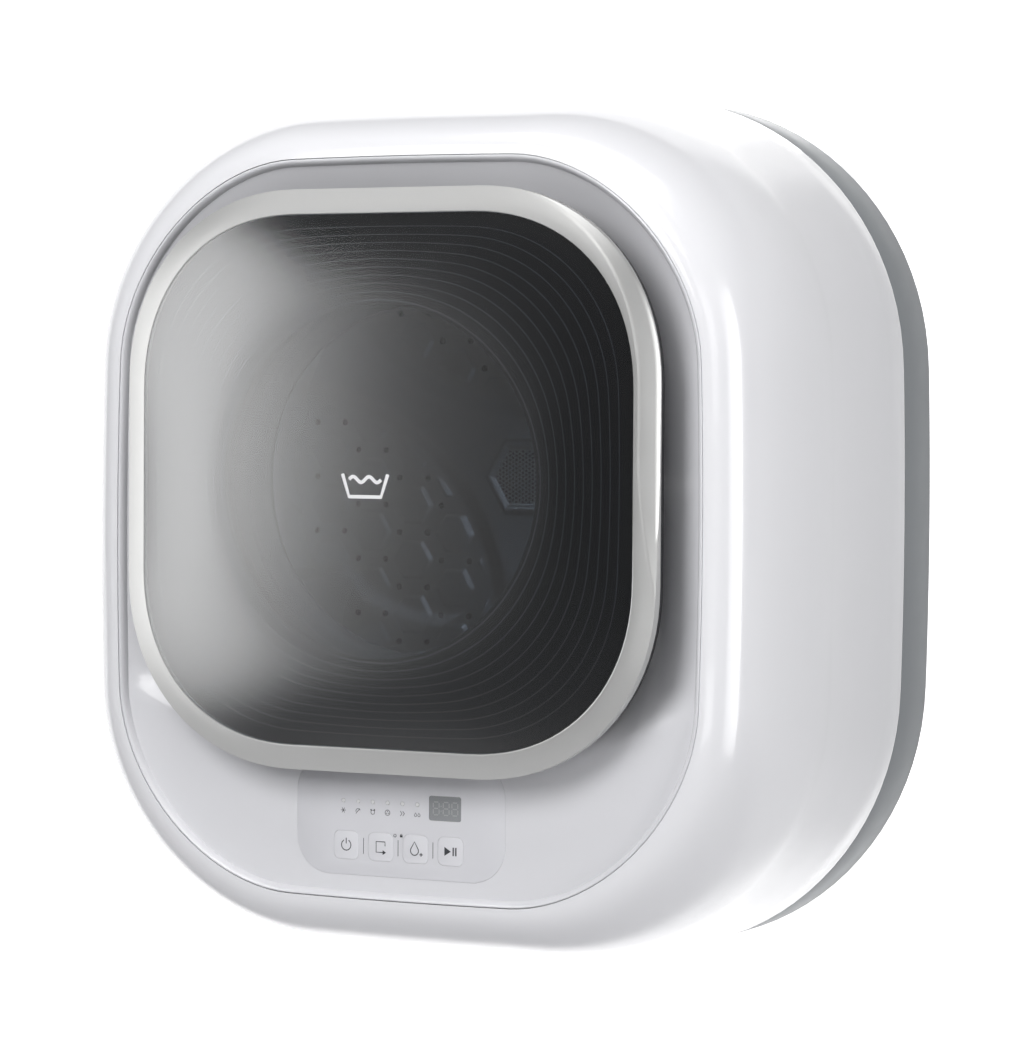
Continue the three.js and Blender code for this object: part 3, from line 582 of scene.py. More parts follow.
def set_camera():
    azimuth = math.radians(CAMERA_AZIMUTH)
    elevation = math.radians(CAMERA_ELEVATION)
    outward = Vector((
        math.sin(azimuth) * math.cos(elevation),
        -math.cos(azimuth) * math.cos(elevation),
        math.sin(elevation),
    ))
    data = bpy.data.cameras.new("camera")
    data.sensor_width = SENSOR_WIDTH
    data.lens = FOCAL_LENGTH
    camera = add_object("camera", data)
    roll = Matrix.Rotation(-math.radians(CAMERA_ROLL), 3, "Z")
    turn = outward.to_track_quat("Z", "Y").to_matrix() @ roll
    spot = place(CAMERA_TARGET) + outward * CAMERA_DISTANCE * MM
    camera.matrix_world = Matrix.Translation(spot) @ turn.to_4x4()
    bpy.context.scene.camera = camera


def softbox(name, position, target, size, radiance, spread=180, shape="RECTANGLE"):
    """A flat lamp of even brightness, turned towards a target. The cameras don't see it."""
    width, height = size
    area = width * height * (math.pi / 4 if shape == "ELLIPSE" else 1)
    data = bpy.data.lights.new(name, "AREA")
    data.shape = shape
    data.size = width
    data.size_y = height
    data.energy = math.pi * area * radiance
    data.spread = math.radians(spread)
    lamp = add_object(name, data)
    direction = Vector(position) - Vector(target)
    turn = direction.to_track_quat("Z", "Y").to_matrix().to_4x4()
    lamp.matrix_world = Matrix.Translation(position) @ turn
    lamp.visible_camera = False
    return lamp


def flag(lamp, names, state):
    """Makes a lamp light only the named pieces, or all but them, as a flag beside it would."""
    pieces = bpy.data.collections.new(f"{lamp.name}_pieces")
    for name in names:
        pieces.objects.link(bpy.data.objects[name])
    for entry in pieces.collection_objects:
        entry.light_linking.link_state = state
    lamp.light_linking.receiver_collection = pieces


def door_lights():
    glass_left = (-0.05, -0.18, 0.02)
    glow = softbox("left_softbox", (-0.885, -1.095, 0.08), glass_left, (0.62, 1.0), 4.6, shape="ELLIPSE")
    flag(glow, ("door_dome", "door_print"), "INCLUDE")
    ring_left = (-0.19, -0.29, 0.03)
    left = softbox("ring_left_softbox", (-1.1, -1.05, 0.05), ring_left, (1.2, 1.0), 1.7)
    flag(left, ("door_bezel",), "INCLUDE")
    ring_top = (0, -0.29, 0.2)
    top = softbox("ring_top_softbox", (-0.75, -1.5, 1.0), ring_top, (0.9, 0.5), 1.2)
    flag(top, ("door_bezel",), "INCLUDE")


def casing_lights():
    front = (0, -0.2, 0)
    upper_front = (0, -0.2, 0.1)
    fill = softbox("front_fill", (-0.6, -2.35, 1.15), front, (1.4, 1.4), 4.8)
    flag(fill, ("door_dome", "door_print", "door_bezel"), "EXCLUDE")
    softbox("left_fill", (-1.6, -1.5, 0.2), (-0.05, -0.18, 0.02), (1.0, 1.2), 0.3)
    softbox("right_softbox", (1.7, -0.78, 0.1), (0.2, -0.78, 0.05), (0.7, 1.8), 1.35, spread=80)
    softbox("top_softbox", (0.1, -0.75, 1.7), (0.05, -0.2, 0.1), (1.6, 0.9), 2.7)
    softbox("high_softbox", (0.2, -2.3, 1.7), upper_front, (1.4, 1.0), 2.6)
    low = softbox("low_softbox", (0.7, -2.2, -0.4), upper_front, (1.0, 0.3), 2.4)
    flag(low, ("front_panel_skin", "control_film", "door_dome"), "EXCLUDE")
    softbox("front_softbox", (1.3, -2.7, 0.6), front, (1.0, 1.0), 1.4)
    softbox("back_softbox", (-1.1, 2.5, 1.1), (0, 0, 0), (1.4, 1.4), 2.2)


def lights():
    world = bpy.data.worlds.new("studio")
    world.use_nodes = True
    background = world.node_tree.nodes["Background"]
    background.inputs["Color"].default_value = (0.93, 0.95, 1, 1)
    background.inputs["Strength"].default_value = 0.07
    bpy.context.scene.world = world
    bpy.context.scene.view_settings.view_transform = "Standard"
    door_lights()
    casing_lights()


def stage():
    start = BACKDROP_Y - SWEEP_RADIUS
    profile = [(y, FLOOR_Z) for y in (FLOOR_FRONT, -1, 1, start)]
    for i in range(1, SWEEP_STEPS + 1):
        turn = 0.5 * math.pi * i / SWEEP_STEPS
        y = start + SWEEP_RADIUS * math.sin(turn)
        profile.append((y, FLOOR_Z + SWEEP_RADIUS * (1 - math.cos(turn))))
    profile.append((BACKDROP_Y, BACKDROP_TOP))
    bm = bmesh.new()
    sides = (-FLOOR_HALF_WIDTH, FLOOR_HALF_WIDTH)
    left, right = [[bm.verts.new((x, y, z)) for y, z in profile] for x in sides]
    for i in range(len(profile) - 1):
        bm.faces.new((left[i], left[i + 1], right[i + 1], right[i]))
    sweep = from_bmesh("floor", bm, 60)
    sweep.data.materials.append(floor_paint())


# ---- casing

CASE_SCREW = (264, 60)  # x and z of the first of four
WALL_BOLT = (200, 150)
SCREW_RADIUS = 2.9
SCREW_HEAD_RADIUS = 5.5
SCREW_HEAD_DEPTH = 4
PILLAR_RADIUS = 9
BOSS_RADIUS = 8
BOSS_DEPTH = 80
BUSH_RADIUS = 10.3
SERVICE_DEPTH = 27
# The holes in the rear frame's underside, as (radius, x): for the inlet, the drain and the cable gland.
SERVICE_HOLES = ((17, -85), (8.4, 85), (9.3, -30))


def case_row(depth, inset):
    return level(outline(CASE, inset, CORNER_SHRINK), depth)


def eased(depth, size, cut, into):
    """Three rows that round the casing's end, from its end face at a depth into its side."""
    return [case_row(depth, size), case_row(depth + into * cut, cut), case_row(depth + into * size, 0)]


def rear_frame():
    rows = eased(0, 1.2, 0.36, 1) + eased(REAR_DEPTH, 0.8, 0.2, -1)[::-1]
    rows += [case_row(REAR_DEPTH, WALL), case_row(WALL, WALL)]
    tray = loft("rear_tray", rows, False)
    screws = quarters(*CASE_SCREW)
    combine(tray, [pin_y(PILLAR_RADIUS, 1, REAR_DEPTH, x, z) for x, z in screws], "UNION")
    holes = [pin_y(SCREW_RADIUS, -1, REAR_DEPTH + 1, x, z) for x, z in screws]
    holes += [pin_y(SCREW_HEAD_RADIUS, -1, SCREW_HEAD_DEPTH, x, z) for x, z in screws]
    holes += [pin_y(BUSH_RADIUS, -1, WALL + 1, x, z) for x, z in quarters(*WALL_BOLT)]
    under = -CASE["b"]
    holes += [pin_z(radius, under - 1, under + 20, x, SERVICE_DEPTH) for radius, x in SERVICE_HOLES]
    combine(tray, holes)
    finish_piece(tray, "casing", "rear_grey", ["rear_frame"])


def fillet_rows(steps, wall):
    """The soft front edge, from the end of the taper to the seam, moved in by a wall's thickness."""
    start = outline(CASE, TAPER_INSET + wall, CORNER_SHRINK)
    rim = outline(SEAM)
    rows = []
    for i in range(steps + 1):
        turn = 0.5 * math.pi * i / steps
        rise = math.sin(turn) ** (2 / FILLET_POWER)
        run = 1 - abs(math.cos(turn)) ** (2 / FILLET_POWER)
        rows.append(level(mix(start, rim, run), TAPER_DEPTH + (RIM_DEPTH - TAPER_DEPTH - wall) * rise))
    return rows


def front_shell():
    back = REAR_DEPTH + GAP
    rows = eased(back, 0.8, 0.2, 1)
    for share in (0.25, 0.5, 0.75):
        rows.append(case_row(back + (TAPER_DEPTH - back) * share, TAPER_INSET * share))
    rows += fillet_rows(36, 0)
    rows += fillet_rows(12, WALL)[::-1]
    rows += [case_row(back, WALL)]
    shell = loft("casing_shell", rows)
    screws = quarters(*CASE_SCREW)
    combine(shell, [pin_y(BOSS_RADIUS, back, BOSS_DEPTH, x, z) for x, z in screws], "UNION")
    combine(shell, [pin_y(SCREW_RADIUS, back - 1, BOSS_DEPTH - 10, x, z) for x, z in screws])
    finish_piece(shell, "casing", "white_shell", ["front_shell"])


LIP = 5  # the flat lip inside the rim
RECESS_SLOPE = 0.583
RECESS_WIDTH = 36
RECESS_BLEND = 0.8  # softens the crease between the recess's wall and its floor
RAMP = dict(a=301, b=185, power=2.5, start=0.8)
TUBE_BACK = 225  # the short tube behind the port
RIM_EDGE = GAP + 0.1
# The rim's rounded front, as (inset, drop).
RIM_PROFILE = ((0.15, 0.35), (0.5, 0.05), (1.2, 0), (2.4, 0.7), (3.4, 2), (4.2, 3.4))
# Openings in the recess's floor, as (left, right, bottom, top).
LATCH_SLOT = (154, 177, AXIS_Z - 6, AXIS_Z + 6)
CUP_OPENING = (-150, -107, 142, 168)


def dish_floor(x, z):
    """The floor's depth: flat behind the door, and rising below it to the land of the controls."""
    below = max(AXIS_Z - z, 0) / RAMP["b"]
    aside = abs(x) / RAMP["a"]
    reach = (below ** RAMP["power"] + aside ** RAMP["power"]) ** (1 / RAMP["power"])
    return RECESS_DEPTH + (LAND_DEPTH - RECESS_DEPTH) * smooth(reach, RAMP["start"], 1)


def dish_rows(lowered):
    """The sloping wall and then the floor of the dish, in from the lip to the port."""
    rows = []
    wall_steps = 12
    floor_steps = 24
    for i in range(wall_steps + 1):
        inward = RECESS_WIDTH * i / wall_steps
        wall = LAND_DEPTH - RECESS_SLOPE * inward

        def depth(x, z, wall=wall):
            floor = dish_floor(x, z)
            higher = 0.5 * (wall + floor + math.hypot(wall - floor, RECESS_BLEND))
            return higher - RECESS_BLEND / 2 - lowered

        rows.append(level(outline(SEAM, LIP + inward), depth))
    foot = outline(SEAM, LIP + RECESS_WIDTH)
    port = circle(PORT_RADIUS)
    for i in range(1, floor_steps):
        rows.append(level(mix(foot, port, i / floor_steps), lambda x, z: dish_floor(x, z) - lowered))
    return rows


def front_panel():
    rows = [level(outline(SEAM, RIM_EDGE), depth) for depth in (LAND_DEPTH - WALL, RIM_DEPTH - 0.9)]
    rows += [level(outline(SEAM, RIM_EDGE + inset), RIM_DEPTH - drop) for inset, drop in RIM_PROFILE]
    rows += dish_rows(0)
    tube = circle(PORT_RADIUS)
    tube_outside = circle(PORT_RADIUS + WALL)
    rows += [level(tube, RECESS_DEPTH), level(tube, TUBE_BACK)]
    rows += [level(tube_outside, TUBE_BACK), level(tube_outside, RECESS_DEPTH - WALL)]
    rows += dish_rows(WALL)[:-4][::-1]
    panel = loft("front_panel_skin", rows)
    cutters = []
    for left, right, bottom, top in (LATCH_SLOT, CUP_OPENING):
        cutters.append(block((left, RECESS_DEPTH - 10, bottom), (right, RECESS_DEPTH + 5, top)))
    cutters += control_cutters()
    cutters.append(punch(overlay_outline(OVERLAY_SLACK), LAND_DEPTH - 1.5, LAND_DEPTH + 2))
    combine(panel, cutters)
    finish_piece(panel, "casing", "white_panel", ["front_panel"])


# ---- controls

BUTTONS = ("power", "course", "rinse", "start")
BUTTON_X = [-41 + 26.4 * i for i in range(len(BUTTONS))]
BUTTON_Z = -213
BUTTON_FRONT = 266.25
LED_X = [-43.5 + 11.3 * i for i in range(6)]
LED_Z = -183
LED_RADIUS = 1.5
DISPLAY = (33.9, -184.7)  # x and z of its middle
OVERLAY_Z = -192.5
OVERLAY_SLACK = 0.05
OVERLAY_THICKNESS = 1.2
# Rounded squares, as (width, height, corner).
OVERLAY = (158, 81, 25)
BUTTON_CAP = (19.1, 19.1, 4.3)
BUTTON_FOOT = (22.2, 21.6, 4)
BUTTON_HOLE = (19.24, 19.24, 4.35)
DISPLAY_PANE = (24, 16.4, 1.5)
DISPLAY_HOLE = (24.2, 16.6, 1.6)


def overlay_outline(grow):
    width, height, corner = OVERLAY
    points = rounded_square(width + 2 * grow, height + 2 * grow, corner + grow, 20)
    return shifted(points, 0, OVERLAY_Z)


def control_cutters():
    back = LAND_DEPTH - 6
    front = LAND_DEPTH + 2
    cutters = [punch(shifted(rounded_square(*BUTTON_HOLE), x, BUTTON_Z), back, front) for x in BUTTON_X]
    cutters += [pin_y(LED_RADIUS, back, front, x, LED_Z, 20) for x in LED_X]
    cutters.append(punch(shifted(rounded_square(*DISPLAY_HOLE), *DISPLAY), back, front))
    return cutters


def controls():
    back = LAND_DEPTH - OVERLAY_THICKNESS
    film = plate("control_film", overlay_outline(-OVERLAY_SLACK), back, LAND_DEPTH, 0.25)
    combine(film, control_cutters())
    finish_piece(film, "casing", "control_film", ["control_overlay"])
    pane = shifted(rounded_square(*DISPLAY_PANE), *DISPLAY)
    window = plate("display_pane", pane, back, LAND_DEPTH, 0.2)
    finish_piece(window, "casing", "smoked_window", ["display_window"])
    for x, name in zip(BUTTON_X, BUTTONS):
        square = shifted(rounded_square(*BUTTON_CAP), x, BUTTON_Z)
        cap = plate(f"button_{name}_cap", square, LAND_DEPTH - 4, BUTTON_FRONT, 0.45)
        wider = shifted(rounded_square(*BUTTON_FOOT), x, BUTTON_Z)
        foot = plate("foot", wider, LAND_DEPTH - 5, LAND_DEPTH - 3.4, 0.2)
        combine(cap, [foot], "UNION")
        finish_piece(cap, f"{name}_button", "control_film", [f"button_{name}"])


# ---- printed signs

MARK_THICKNESS = 0.03
INK_LIFT = 0.04  # how far in front of its surface a print lies
SIGN_LINE = 0.65
SMALL_LINE = 0.38
HINT_Z = -204.1
DIGIT_SHIFTS = (-6.6, 0.9, 7.4)


def line(points, width, closed=False):
    return (points, width, closed)


def area(points):
    return (points, 0, True)


def dot(x, z, radius, count=16):
    return area(shifted(circle(radius, 0, count), x, z))


def ring(x, z, radius, width, count=18):
    return line(arc(x, z, radius, 0, 342, count), width, closed=True)


def drop(x, z, size, width):
    """The outline of a water drop, with its point up."""
    return line(arc(x, z, size, 150, 390) + [(x, z + 2 * size)], width, closed=True)


def figure(w, h, trim):
    """A seven-segment figure with all its lines shown, each trimmed by a share at its ends."""
    corners = [(-w, h), (w, h), (w, 0), (w, -h), (-w, -h), (-w, 0), (-w, h)]
    pairs = list(zip(corners, corners[1:])) + [((-w, 0), (w, 0))]
    return [line(mix(pair, pair[::-1], trim), 0.75) for pair in pairs]


# Each sign is a list of lines and areas, in millimetres from its own middle.
BUTTON_SIGNS = {
    "power": [line(arc(0, 0, 3.6, 120, 420), SIGN_LINE), line([(0, 1), (0, 4.8)], SIGN_LINE)],
    "course": [
        line([(3.4, 0.8), (3.4, 3.6), (-3.4, 3.6), (-3.4, -3.6), (1.6, -3.6)], SIGN_LINE),
        area([(1.6, -5.2), (4.2, -3.6), (1.6, -2)]),
    ],
    "rinse": [
        drop(-0.6, -1, 3, SIGN_LINE),
        line([(3.2, -3.4), (5.6, -3.4)], SIGN_LINE),
        line([(4.4, -4.6), (4.4, -2.2)], SIGN_LINE),
    ],
    "start": [
        area([(-4.4, -3), (0.4, 0), (-4.4, 3)]),
        line([(2.2, -2.8), (2.2, 2.8)], 1),
        line([(4.2, -2.8), (4.2, 2.8)], 1),
    ],
}
SNOWFLAKE = [line([polar(0, 0, 1.9, a), polar(0, 0, 1.9, a + 180)], SMALL_LINE) for a in (0, 60, 120)]
FEATHER = [line([(-1.6, -1.8), (1.4, 1.6)], 0.4), line(arc(0.1, -0.1, 1.7, 20, 200, 10), 0.35)]
BEAR = [ring(0, -0.3, 1.4, SMALL_LINE), dot(-1.3, 1.3, 0.55), dot(1.3, 1.3, 0.55)]
DRUM_SIGN = [ring(0, 0, 1.8, SMALL_LINE)] + [dot(*polar(0, 0, 0.8, a), 0.35) for a in (90, 210, 330)]
FAST = [line([(x, -1.6), (x + 1.3, 0), (x, 1.6)], 0.42) for x in (-1.5, 0.3)]
STRONG = [drop(x, -0.6, 0.85, 0.35) for x in (-1.3, 1.3)]
LOCK = [area([(-1, -1.5), (1, -1.5), (1, 0), (-1, 0)]), line(arc(0, 0, 0.7, 0, 180, 8), 0.3)]
CHILD = [ring(0, -0.6, 1, 0.35, 14)] + [dot(*polar(0, -0.6, 0.4, a), 0.2) for a in (210, 330)]
DIVIDER = [line([(0, -5.4), (0, 5.4)], 0.4)]
LAMP = [dot(0, 0, 1.15)]
DIGIT = figure(2.2, 4.3, 0.14)
COLON = [dot(-2.9, -1.6, 0.45, 10), dot(-2.9, 1.6, 0.45, 10)]
TUB = [
    line([(-17, 7), (-12, -8), (12, -8), (17, 7)], 2.6),
    line([(x, 3.4 + 1.9 * math.sin(2 * math.pi * (x + 12) / 12)) for x in range(-12, 13)], 2.4),
]


def strip(bm, points, width, depth, closed):
    """A flat line of constant width through (x, z) points."""
    count = len(points)
    sides = []
    for i, (x, z) in enumerate(points):
        before = points[i - 1] if i or closed else points[i]
        after = points[(i + 1) % count] if i < count - 1 or closed else points[i]
        along = Vector((after[0] - before[0], after[1] - before[1])).normalized()
        across = Vector((-along.y, along.x)) * width / 2
        sides.append([bm.verts.new(place((x + s * across.x, depth, z + s * across.y))) for s in (-1, 1)])
    for i in range(count if closed else count - 1):
        near, far = sides[i], sides[(i + 1) % count]
        bm.faces.new((near[0], far[0], far[1], near[1]))


def print_and_shade_marks(name, body, depth, signs, material=MARK, slot="dark_plastic"):
    """Signs, each with its middle's x and z, as a flat layer so thick that it is a solid mesh: printed ink,
    and also the dark discs of painted shade that stand for the drum's holes.
    """
    bm = bmesh.new()
    for sign, x, z in signs:
        for points, width, closed in sign:
            points = shifted(points, x, z)
            if width:
                strip(bm, points, width, depth, closed)
            else:
                bm.faces.new([bm.verts.new(place(point)) for point in level(points, depth)])
    piece = from_bmesh(name, bm, None)
    # For the drum's holes this layer is painted shade: dark discs in place of the holes' dark insides.
    ink = piece.modifiers.new("ink", "SOLIDIFY")
    ink.thickness = MARK_THICKNESS * MM
    ink.offset = 0
    finish_piece(piece, body, slot, (), material)


def control_marks():
    for name, x in zip(BUTTONS, BUTTON_X):
        sign = (BUTTON_SIGNS[name], x, BUTTON_Z)
        print_and_shade_marks(f"mark_{name}", f"{name}_button", BUTTON_FRONT + INK_LIFT, [sign])
    depth = LAND_DEPTH + INK_LIFT
    programmes = (SNOWFLAKE, FEATHER, BEAR, DRUM_SIGN, FAST, STRONG)
    signs = [(sign, x, LED_Z - 6.6) for x, sign in zip(LED_X, programmes)]
    middles = [(left + right) / 2 for left, right in zip(BUTTON_X, BUTTON_X[1:])]
    signs += [(DIVIDER, x, BUTTON_Z) for x in middles]
    signs += [(LOCK, middles[1] + 2.4, HINT_Z), (CHILD, middles[1] - 2.4, HINT_Z)]
    print_and_shade_marks("marks_overlay", "casing", depth, signs)
    print_and_shade_marks("marks_lamps", "casing", depth, [(LAMP, x, LED_Z) for x in LED_X], PALE_MARK, "light_guide")
    x, z = DISPLAY
    figures = [(DIGIT, x + shift, z) for shift in DIGIT_SHIFTS] + [(COLON, x, z)]
    print_and_shade_marks("marks_digits", "casing", depth, figures, DIGIT_MARK, "smoked_window")


# ---- gasket and drum

# The gasket's section, as (radius, depth): the collar on the port, the lip for the door and three folds.
GASKET_PROFILE = (
    (137.7, 213), (137.7, 245.3), (147, 245.3), (147, 248), (131, 248), (131, 243.5), (125, 243),
    (122, 240.4), (117.5, 239), (117.5, 236.6), (121, 236), (125, 238.6), (130, 238),
    (131.2, 234), (127.5, 231), (131.2, 228), (127.5, 225), (131.2, 222), (130, 213),
)
GASKET_COUNT = 160
CLAMP_RADIUS = 141.5
CLAMP_DEPTH = 249.4
WIRE_RADIUS = 1.1


def gasket():
    folds = lathe("gasket_bellows", rounded(GASKET_PROFILE, 1.4), GASKET_COUNT)
    finish_piece(folds, "casing", "grey_rubber", ["gasket"])
    wire = shifted(circle(WIRE_RADIUS, CLAMP_DEPTH, 12), CLAMP_RADIUS, 0)
    clamp = lathe("gasket_wire", wire, GASKET_COUNT)
    finish_piece(clamp, "casing", "zinc_steel", ["gasket_clamp"])


HEX_PITCH = 39.5
HEX_FLATS = 27
HEX_SHIFT = (92.8, 21.9)  # moves the pattern so that a cell lies where the photo's cells lie
PRESS_HEIGHT = 1.6
STAR_CENTRE = 215  # each side of the star is an arc of this circle
STAR_RADIUS = 160
STAR_EDGE = 15
STAR_HEIGHT = 6.5
CAP_HEIGHT = 4
CAP_SINK = 1.2
CAP_HOLE_PITCH = (2.6, 3)
DISC_COUNT = 720
DISC_RINGS = 150
# The drum back's holes are not cut: they are dark discs of painted shade, of this radius and lifted this
# far off the face.
HOLE_RADIUS = 2.4
HOLE_LIFT = 0.12


def hex_reach(dx, dz):
    """How far out a point lies in a hexagon, measured towards its flats."""
    return max(abs(dz), 0.5 * abs(dz) + COS_30 * abs(dx))


def hex_cell(x, z, pitch):
    """How far out a point lies in the nearest cell of a honeycomb."""
    column = pitch * math.sqrt(3) / 2
    best = math.inf
    base = round(x / column)
    for c in (base - 1, base, base + 1):
        offset = 0.5 * pitch * (c % 2)
        row = round((z - offset) / pitch)
        for r in (row - 1, row, row + 1):
            best = min(best, hex_reach(x - c * column, z - offset - r * pitch))
    return best


def star_reach(x, z):
    """How far a point lies off the raised three-armed star of the drum's back. On the star it is over 0."""
    sides = [polar(0, 0, STAR_CENTRE, angle) for angle in (90, 210, 330)]
    return min(math.hypot(x - sx, z - sz) for sx, sz in sides) - STAR_RADIUS


def drum_back_depth(x, z):
    off = star_reach(x, z)
    depth = DRUM_BACK + STAR_HEIGHT * smooth(off, 0, STAR_EDGE)
    if off < -3:
        cell = hex_cell(x + HEX_SHIFT[0], z + HEX_SHIFT[1], HEX_PITCH)
        pressed = 1 - smooth(cell, HEX_FLATS / 2 - 1.6, HEX_FLATS / 2 + 0.4)
        depth += PRESS_HEIGHT * pressed * smooth(-off, 3, 7)
    hub = hex_reach(x, z)
    return depth + CAP_HEIGHT * (1 - smooth(hub, 24.5, 27)) - CAP_SINK * (1 - smooth(hub, 20, 21.5))


def drum_back():
    radii = [TINY] + [DRUM_INSIDE * i / DISC_RINGS for i in range(1, DISC_RINGS + 1)]
    rim = circle(DRUM_RADIUS, 0, DISC_COUNT)
    rows = [level(rim, DRUM_BACK - 2), level(rim, DRUM_BACK)]
    rows += [level(circle(radius, 0, DISC_COUNT), drum_back_depth) for radius in reversed(radii)]
    rows = [[(x, d, z + AXIS_Z) for x, d, z in row] for row in rows]
    face = loft("drum_back_face", rows, False, 60)
    finish_piece(face, "drum", "drum_steel", ["drum_back"])


def hole_spots():
    column = HEX_PITCH * math.sqrt(3) / 2
    spots = {}
    for c in range(-7, 12):
        for r in range(-7, 8):
            x = c * column - HEX_SHIFT[0]
            z = (r + 0.5 * (c % 2)) * HEX_PITCH - HEX_SHIFT[1]
            for side in (-1, 1):
                spot = (x + side * HEX_PITCH / math.sqrt(3), z)
                spots.setdefault((round(spot[0]), round(spot[1])), spot)
    return spots.values()


def drum_hole_shade():
    # The holes are not cut through: each is a dark disc on the face, painted shade standing in for the dark
    # inside of a hole.
    dark = MATERIALS["dark_plastic"]
    hole_shade = [dot(0, AXIS_Z, HOLE_RADIUS, 14)]
    holes = [(hole_shade, x, z) for x, z in hole_spots() if star_reach(x, z) <= -8 and math.hypot(x, z) <= 180]
    print_and_shade_marks("drum_back_holes", "drum", DRUM_BACK + HOLE_LIFT, holes, dark)
    # The hub cap's small holes are the same painted shade: dark discs on its face.
    hole_shade = [dot(0, AXIS_Z, 0.85, 8)]
    across, up = CAP_HOLE_PITCH
    spots = [(c * across, (r + 0.5 * (c % 2)) * up) for c in range(-12, 13) for r in range(-12, 13)]
    holes = [(hole_shade, x, z) for x, z in spots if hex_reach(x, z) < 19]
    print_and_shade_marks("hub_cap_holes", "drum", drum_back_depth(0, 0) + HOLE_LIFT, holes, dark)


SHELL_BACK = 76.6
SHELL_FRONT = 200  # where the wall starts to roll over to the mouth
SHELL_ROLL = 4
WALL_CELLS = 30  # cells round the wall
WALL_PRESS = 1.4
# The rolled edge of the drum's mouth, as (radius, depth).
MOUTH_PROFILE = ((156, 204), (152, 203.4), (150, 201.6), (150.6, 199.8), (152, 199.6), (156, 202))


def wall_cell(turn, depth):
    """How far the drum's side is pressed out at a place, from 0 to 1: cells laid round the wall."""
    arc_length = 2 * math.pi * DRUM_INSIDE
    pitch = arc_length / WALL_CELLS * 2 / math.sqrt(3)
    cell = hex_cell(turn / (2 * math.pi) * arc_length, depth, pitch)
    return 1 - smooth(cell, pitch * 0.34 - 2, pitch * 0.34 + 0.4)


def drum_shell():
    turns = [2 * math.pi * i / DISC_COUNT for i in range(DISC_COUNT)]

    def row(radius, depth, pressed=0.0):
        points = []
        for t in turns:
            r = radius - pressed * wall_cell(t, depth)
            points.append((r * math.cos(t), depth, r * math.sin(t) + AXIS_Z))
        return points

    rows = [row(DRUM_RADIUS, SHELL_BACK), row(DRUM_RADIUS, SHELL_FRONT)]
    for i in range(1, 7):
        t = 0.5 * math.pi * i / 6
        radius = DRUM_RADIUS - SHELL_ROLL * (1 - math.cos(t))
        rows.append(row(radius, SHELL_FRONT + SHELL_ROLL * math.sin(t)))
    rows += [row(radius, depth) for radius, depth in MOUTH_PROFILE]
    rows += [row(DRUM_INSIDE - 2, SHELL_FRONT + 2), row(DRUM_INSIDE, SHELL_FRONT)]
    length = SHELL_FRONT - SHELL_BACK
    rows += [row(DRUM_INSIDE, SHELL_FRONT - length * i / 80, WALL_PRESS) for i in range(1, 80)]
    rows += [row(DRUM_INSIDE, SHELL_BACK)]
    shell = loft("drum_wall", rows, sharp=60)
    finish_piece(shell, "drum", "drum_steel", ["drum_shell"])


LIFTER_COUNT = 3
LIFTER_HEIGHT = 37
LIFTER_ROOT = 183.5  # the radius at which a lifter stands on the drum's wall
LIFTER_BACK = 84.3
LIFTER_LENGTH = 107.4
LIFTER_FOOT = 26  # half its width at the back
LIFTER_LEAN = 3
LIFTER_SECTIONS = 24
LIFTER_POINTS = 28


def lifter_section(along):
    """The (x, z) section of a lifter that points down, a share of the way from its back to its front."""
    height = LIFTER_HEIGHT * (1 - 0.25 * along) * min(1, 0.35 + 6 * along, 0.35 + 6 * (1 - along))
    foot = LIFTER_FOOT - 4 * along
    lean = LIFTER_LEAN * math.sin(math.pi * along)
    points = []
    for i in range(LIFTER_POINTS + 1):
        across = i / LIFTER_POINTS * 2 - 1
        rise = height * (1 - abs(across) ** 1.7) ** 1.2
        points.append((across * foot * (1 - 0.35 * (1 - abs(across))) + lean, LIFTER_ROOT - rise))
    return points


def lifters():
    for i in range(LIFTER_COUNT):
        turn = 2 * math.pi * i / LIFTER_COUNT
        rows = []
        for k in range(LIFTER_SECTIONS + 1):
            along = k / LIFTER_SECTIONS
            row = []
            for x, z in lifter_section(along):
                px = x * math.cos(turn) + z * math.sin(turn)
                pz = -x * math.sin(turn) + z * math.cos(turn)
                row.append((px, LIFTER_BACK + LIFTER_LENGTH * along, pz + AXIS_Z))
            rows.append(row)
        paddle = loft(f"paddle_{i + 1}", rows, False, 50)
        finish_piece(paddle, "drum", "tub_plastic", [f"lifter_{i + 1}"])


# ---- door

CROWN_STEPS = 12
PRINT_DEPTH = GLASS_EDGE - WALL - 0.25
PRINT_THICKNESS = 0.3
GRIP_MIDDLE = 92  # the height of the finger grip's middle, and half its length
GRIP_REACH = 128
GRIP_WIDTH = 13.5
GRIP_SLOPE = 0.42
RING_FRONT = GLASS_EDGE - 0.2
RING_BACK = 284
GLASS_SEAT = 292.7  # the step in the ring that the glass lies on
WINDOW_RADIUS = 124
BOWL_SEAT_RADIUS = 134.4
BOWL_SEAT_DEPTH = 276
HINGE_ARM = 43  # the hinge's arms are this far above and below the axis
SIGN_SPOT = (-7, 31)
SIGN_LIFT = 0.06
# The bowl's section, as (radius, depth): its bottom, its wall, its flange and back along the inside.
BOWL_PROFILE = (
    (0, 202), (60, 202), (90, 202.3), (102, 204), (109, 209), (112.3, 218), (118, 270), (120, 272.3),
    (134, 272.3), (134, 275.7),
    (114, 275.7), (108.4, 219), (105, 211.5), (99, 207.5), (88, 206.2), (60, 206), (0, 206),
)


def dome(share):
    """How far the glass rises, a share of the way from its edge to its round middle."""
    return DOME_HEIGHT * (1 - (1 - share) ** 1.8)


